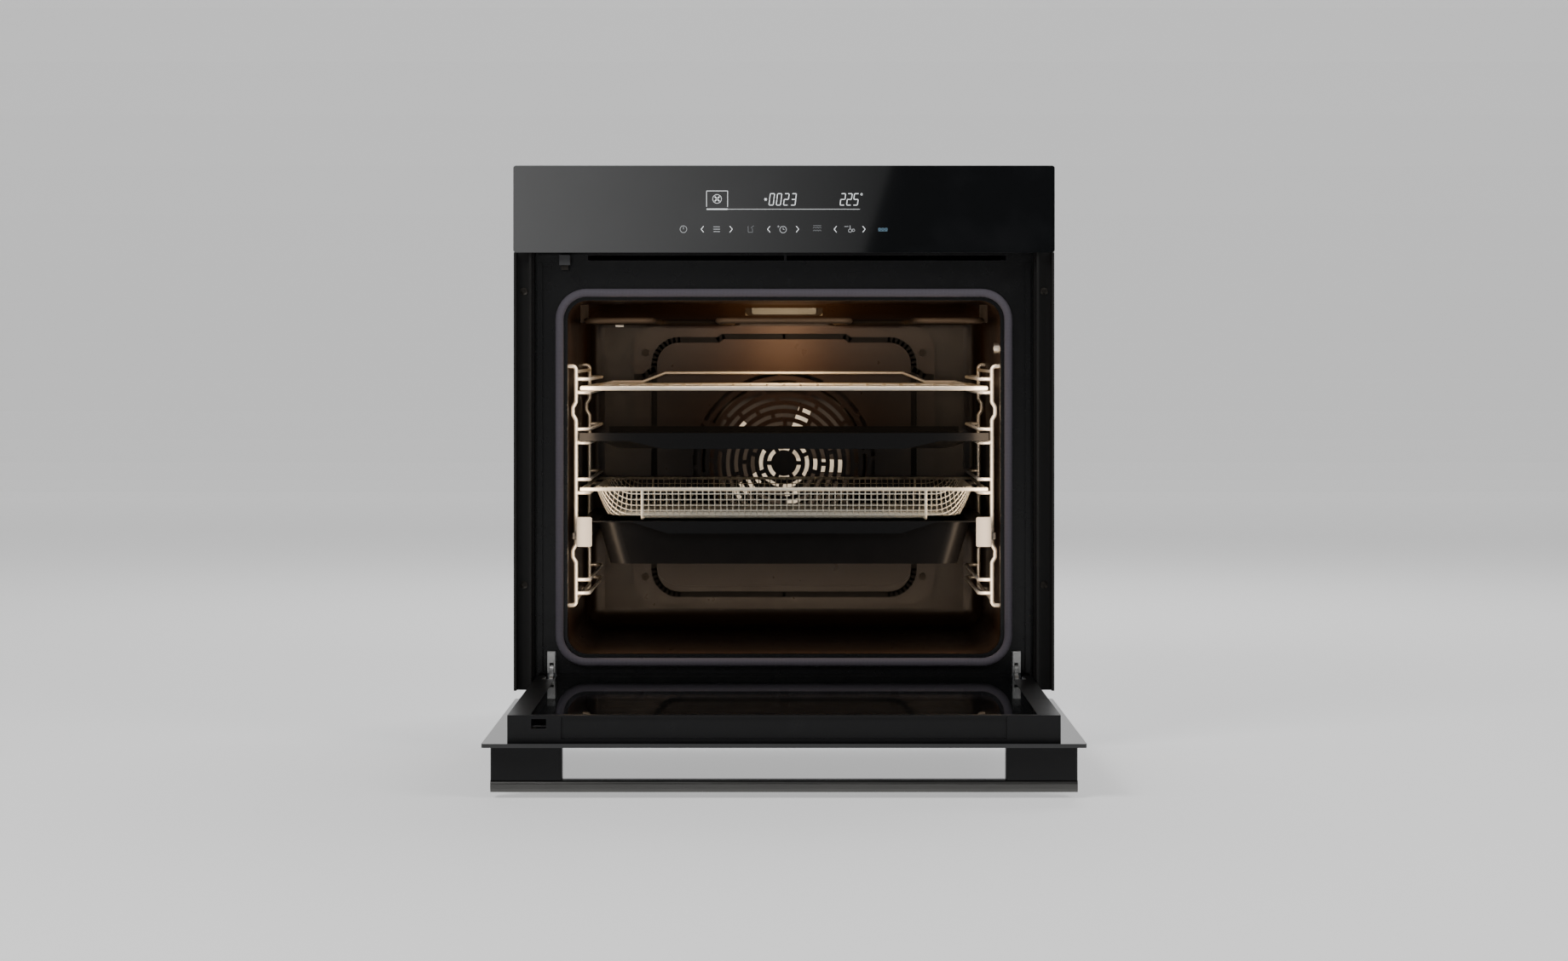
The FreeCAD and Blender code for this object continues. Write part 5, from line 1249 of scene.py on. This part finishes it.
WARM: Colour = (1.0, 0.74, 0.5)
LAMPS: tuple[Lamp, ...] = (
    Lamp("key_lamp", (-1.9, -2.6, 2.5), (0.0, 0.0, 0.25), (1.6, 1.2), 68.0),
    Lamp("fill_lamp", (2.2, -2.0, 1.7), (0.0, 0.1, 0.3), (1.4, 1.4), 30.0),
    Lamp("rear_lamp", (0.4, 2.6, 2.4), (0.0, 0.3, 0.3), (1.8, 1.2), 45.0),
    Lamp("right_mouth_lamp", (0.222, 0.024, 0.25), (-0.05, 0.42, 0.25), (0.02, 0.34), 0.26, WARM),
    Lamp("left_mouth_lamp", (-0.222, 0.024, 0.25), (0.05, 0.42, 0.25), (0.02, 0.34), 0.26, WARM),
    Lamp("top_mouth_lamp", (0.0, 0.024, 0.438), (0.0, 0.42, 0.2), (0.4, 0.016), 0.42, WARM),
    Lamp("fan_lamp", (0.0, 0.4079, 0.254), (0.0, 0.42, 0.254), (0.15, 0.15), 0.11, (1.0, 0.85, 0.66)),
    Lamp("low_mouth_lamp", (0.0, 0.024, 0.062), (0.0, 0.42, 0.27), (0.4, 0.01), 0.3, WARM),
)


@dataclass
class Studio:
    """The floor, the backdrop, the reflected card, the lights and the camera.

    The card's foot and top are each a left end, a right end and a height, and its glow
    fades between two places along X.
    """

    floor_level: float = -0.051
    pale: Colour = (0.82, 0.82, 0.82)
    floor_half: float = 7.0
    curve: float = 2.0
    wall: float = 6.0
    plinth_low: tuple[float, float] = (-0.26, 0.06)
    plinth_high: tuple[float, float] = (0.26, 0.53)
    plinth_top: float = -0.0006
    card_foot: Place = (-0.9, 0.20, 0.60)
    card_top: Place = (-0.9, 0.30, 0.92)
    card_distance: float = 6.0
    fade_span: tuple[float, float] = (-0.75, 0.25)
    fade_glow: tuple[float, float] = (2.5, 0.5)
    bulb: Place = (0.0, 0.355, 0.402)
    bulb_power: float = 1.1
    bulb_radius: float = 0.04
    bulb_colour: Colour = (1.0, 0.66, 0.34)
    air_colour: Colour = (0.9, 0.9, 0.92)
    air_strength: float = 0.07
    eye: Place = (0.0, -4.232, 0.3967)
    lens: float = 88.0
    drop: float = -0.0864

    def build(self) -> None:
        """Builds the whole studio."""
        self.floor()
        self.card()
        self.lamps()
        self.sky()
        self.camera()

    def surface(self, name: str, shape: Shape, material: bpy.types.Material) -> bpy.types.Object:
        """Turns a mesh into an object of the studio.

        Args:
            name: Its name.
            shape: Its mesh.
            material: What it wears.

        Returns:
            The object.
        """
        stage = shape.place(name, material)
        return stage

    def floor(self) -> None:
        """Lays the floor, which bends up into a backdrop, and the plinth."""
        paint = Paint("studio paper")
        shade = tuple(0.98 * part for part in self.pale)
        paint.set(Base_Color=paint.mix(paint.noise(3.0), self.pale, shade), Roughness=0.9,
                  Emission_Color=(1.0, 1.0, 1.0, 1.0), Emission_Strength=0.5)
        shape = Shape()
        made = bmesh.ops.create_grid(shape.bm, x_segments=1, y_segments=1, size=self.floor_half)["verts"]
        bmesh.ops.translate(shape.bm, vec=(0.0, 0.0, self.floor_level), verts=made)
        rear = shape.edges_past(self.floor_half)
        bmesh.ops.spin(shape.bm, geom=[*rear, *rear[0].verts],
                       cent=(0.0, self.floor_half, self.floor_level + self.curve),
                       axis=(1.0, 0.0, 0.0), angle=math.pi / 2.0, steps=16)
        rear = shape.edges_past(self.floor_half + self.curve)
        wall = bmesh.ops.extrude_edge_only(shape.bm, edges=rear)["geom"]
        bmesh.ops.translate(shape.bm, vec=(0.0, 0.0, self.wall),
                            verts=[part for part in wall if isinstance(part, bmesh.types.BMVert)])
        self.surface("studio_floor", shape, paint.material)
        shape = Shape()
        shape.block((*self.plinth_low, self.floor_level), (*self.plinth_high, self.plinth_top))
        self.surface("studio_plinth", shape, paint.material)

    def card(self) -> None:
        """Hangs the bright card whose mirror image lights the control glass."""
        paint = Paint("card glow")
        fade = paint.node("ShaderNodeMapRange", inputs={
            "Value": paint.part(0), "From Min": self.fade_span[0], "From Max": self.fade_span[1],
            "To Min": self.fade_glow[0], "To Max": self.fade_glow[1]})
        glow = paint.node("ShaderNodeEmission", inputs={"Strength": fade.outputs[0]})
        paint.feed(paint.tree.nodes["Material Output"].inputs["Surface"], glow.outputs[0])
        shape = Shape()
        made = bmesh.ops.create_grid(shape.bm, x_segments=1, y_segments=1, size=0.5)["verts"]
        bmesh.ops.rotate(shape.bm, matrix=Matrix.Rotation(math.pi / 2, 3, "X"), verts=made)
        for vert in made:
            left, right, level = self.card_top if vert.co.z > 0.0 else self.card_foot
            vert.co = ((right if vert.co.x > 0.0 else left), -self.card_distance, level)
        card = self.surface("reflection_card", shape, paint.material)
        card.visible_camera = False
        card.visible_diffuse = False
        card.visible_shadow = False

    def lamps(self) -> None:
        """Hangs the studio lamps and the warm lamp under the cavity's roof."""
        for lamp in LAMPS:
            lamp.hang()
        light = bpy.data.lights.new("cavity_lamp", "POINT")
        light.energy, light.color = self.bulb_power, self.bulb_colour
        light.shadow_soft_size = self.bulb_radius
        bulb = bpy.data.objects.new("cavity_lamp", light)
        bulb.location = self.bulb
        bulb.visible_camera = False
        bulb.visible_glossy = False
        bpy.context.scene.collection.objects.link(bulb)

    def sky(self) -> None:
        """Fills the studio with a faint even light."""
        world = bpy.data.worlds.new("studio air")
        bpy.context.scene.world = world
        world.use_nodes = True
        air = world.node_tree.nodes["Background"]
        air.inputs["Color"].default_value = (*self.air_colour, 1.0)
        air.inputs["Strength"].default_value = self.air_strength

    def camera(self) -> None:
        """Sets the camera level with the middle of the cavity, straight in front."""
        lens = bpy.data.cameras.new("front_camera")
        lens.lens, lens.sensor_width = self.lens, 36.0
        lens.shift_y = self.drop
        lens.clip_end = 60.0
        camera = bpy.data.objects.new("front_camera", lens)
        camera.location = self.eye
        camera.rotation_euler = (math.pi / 2, 0.0, 0.0)
        bpy.context.scene.collection.objects.link(camera)
        bpy.context.scene.camera = camera


def main() -> None:
    """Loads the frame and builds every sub-assembly in order."""
    logging.basicConfig(level=logging.INFO, format="%(name)s: %(message)s")
    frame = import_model()
    LOG.info("dressed %d solids", CarriedSolids(frame["nodes"], frame["record"]).dress())
    for piece in (*PanelFigures().build(), DoorSeal().build(), FryBasket().build(),
                  FanCoverGrooveShade().build(), NicheScrews().build(), *CarcassDetails().build()):
        LOG.info("built %s with %d faces", piece.name, len(piece.data.polygons))
    Studio().build()


if __name__ == "__main__":
    for spare in list(bpy.data.objects):
        bpy.data.objects.remove(spare, do_unlink=True)
    main()
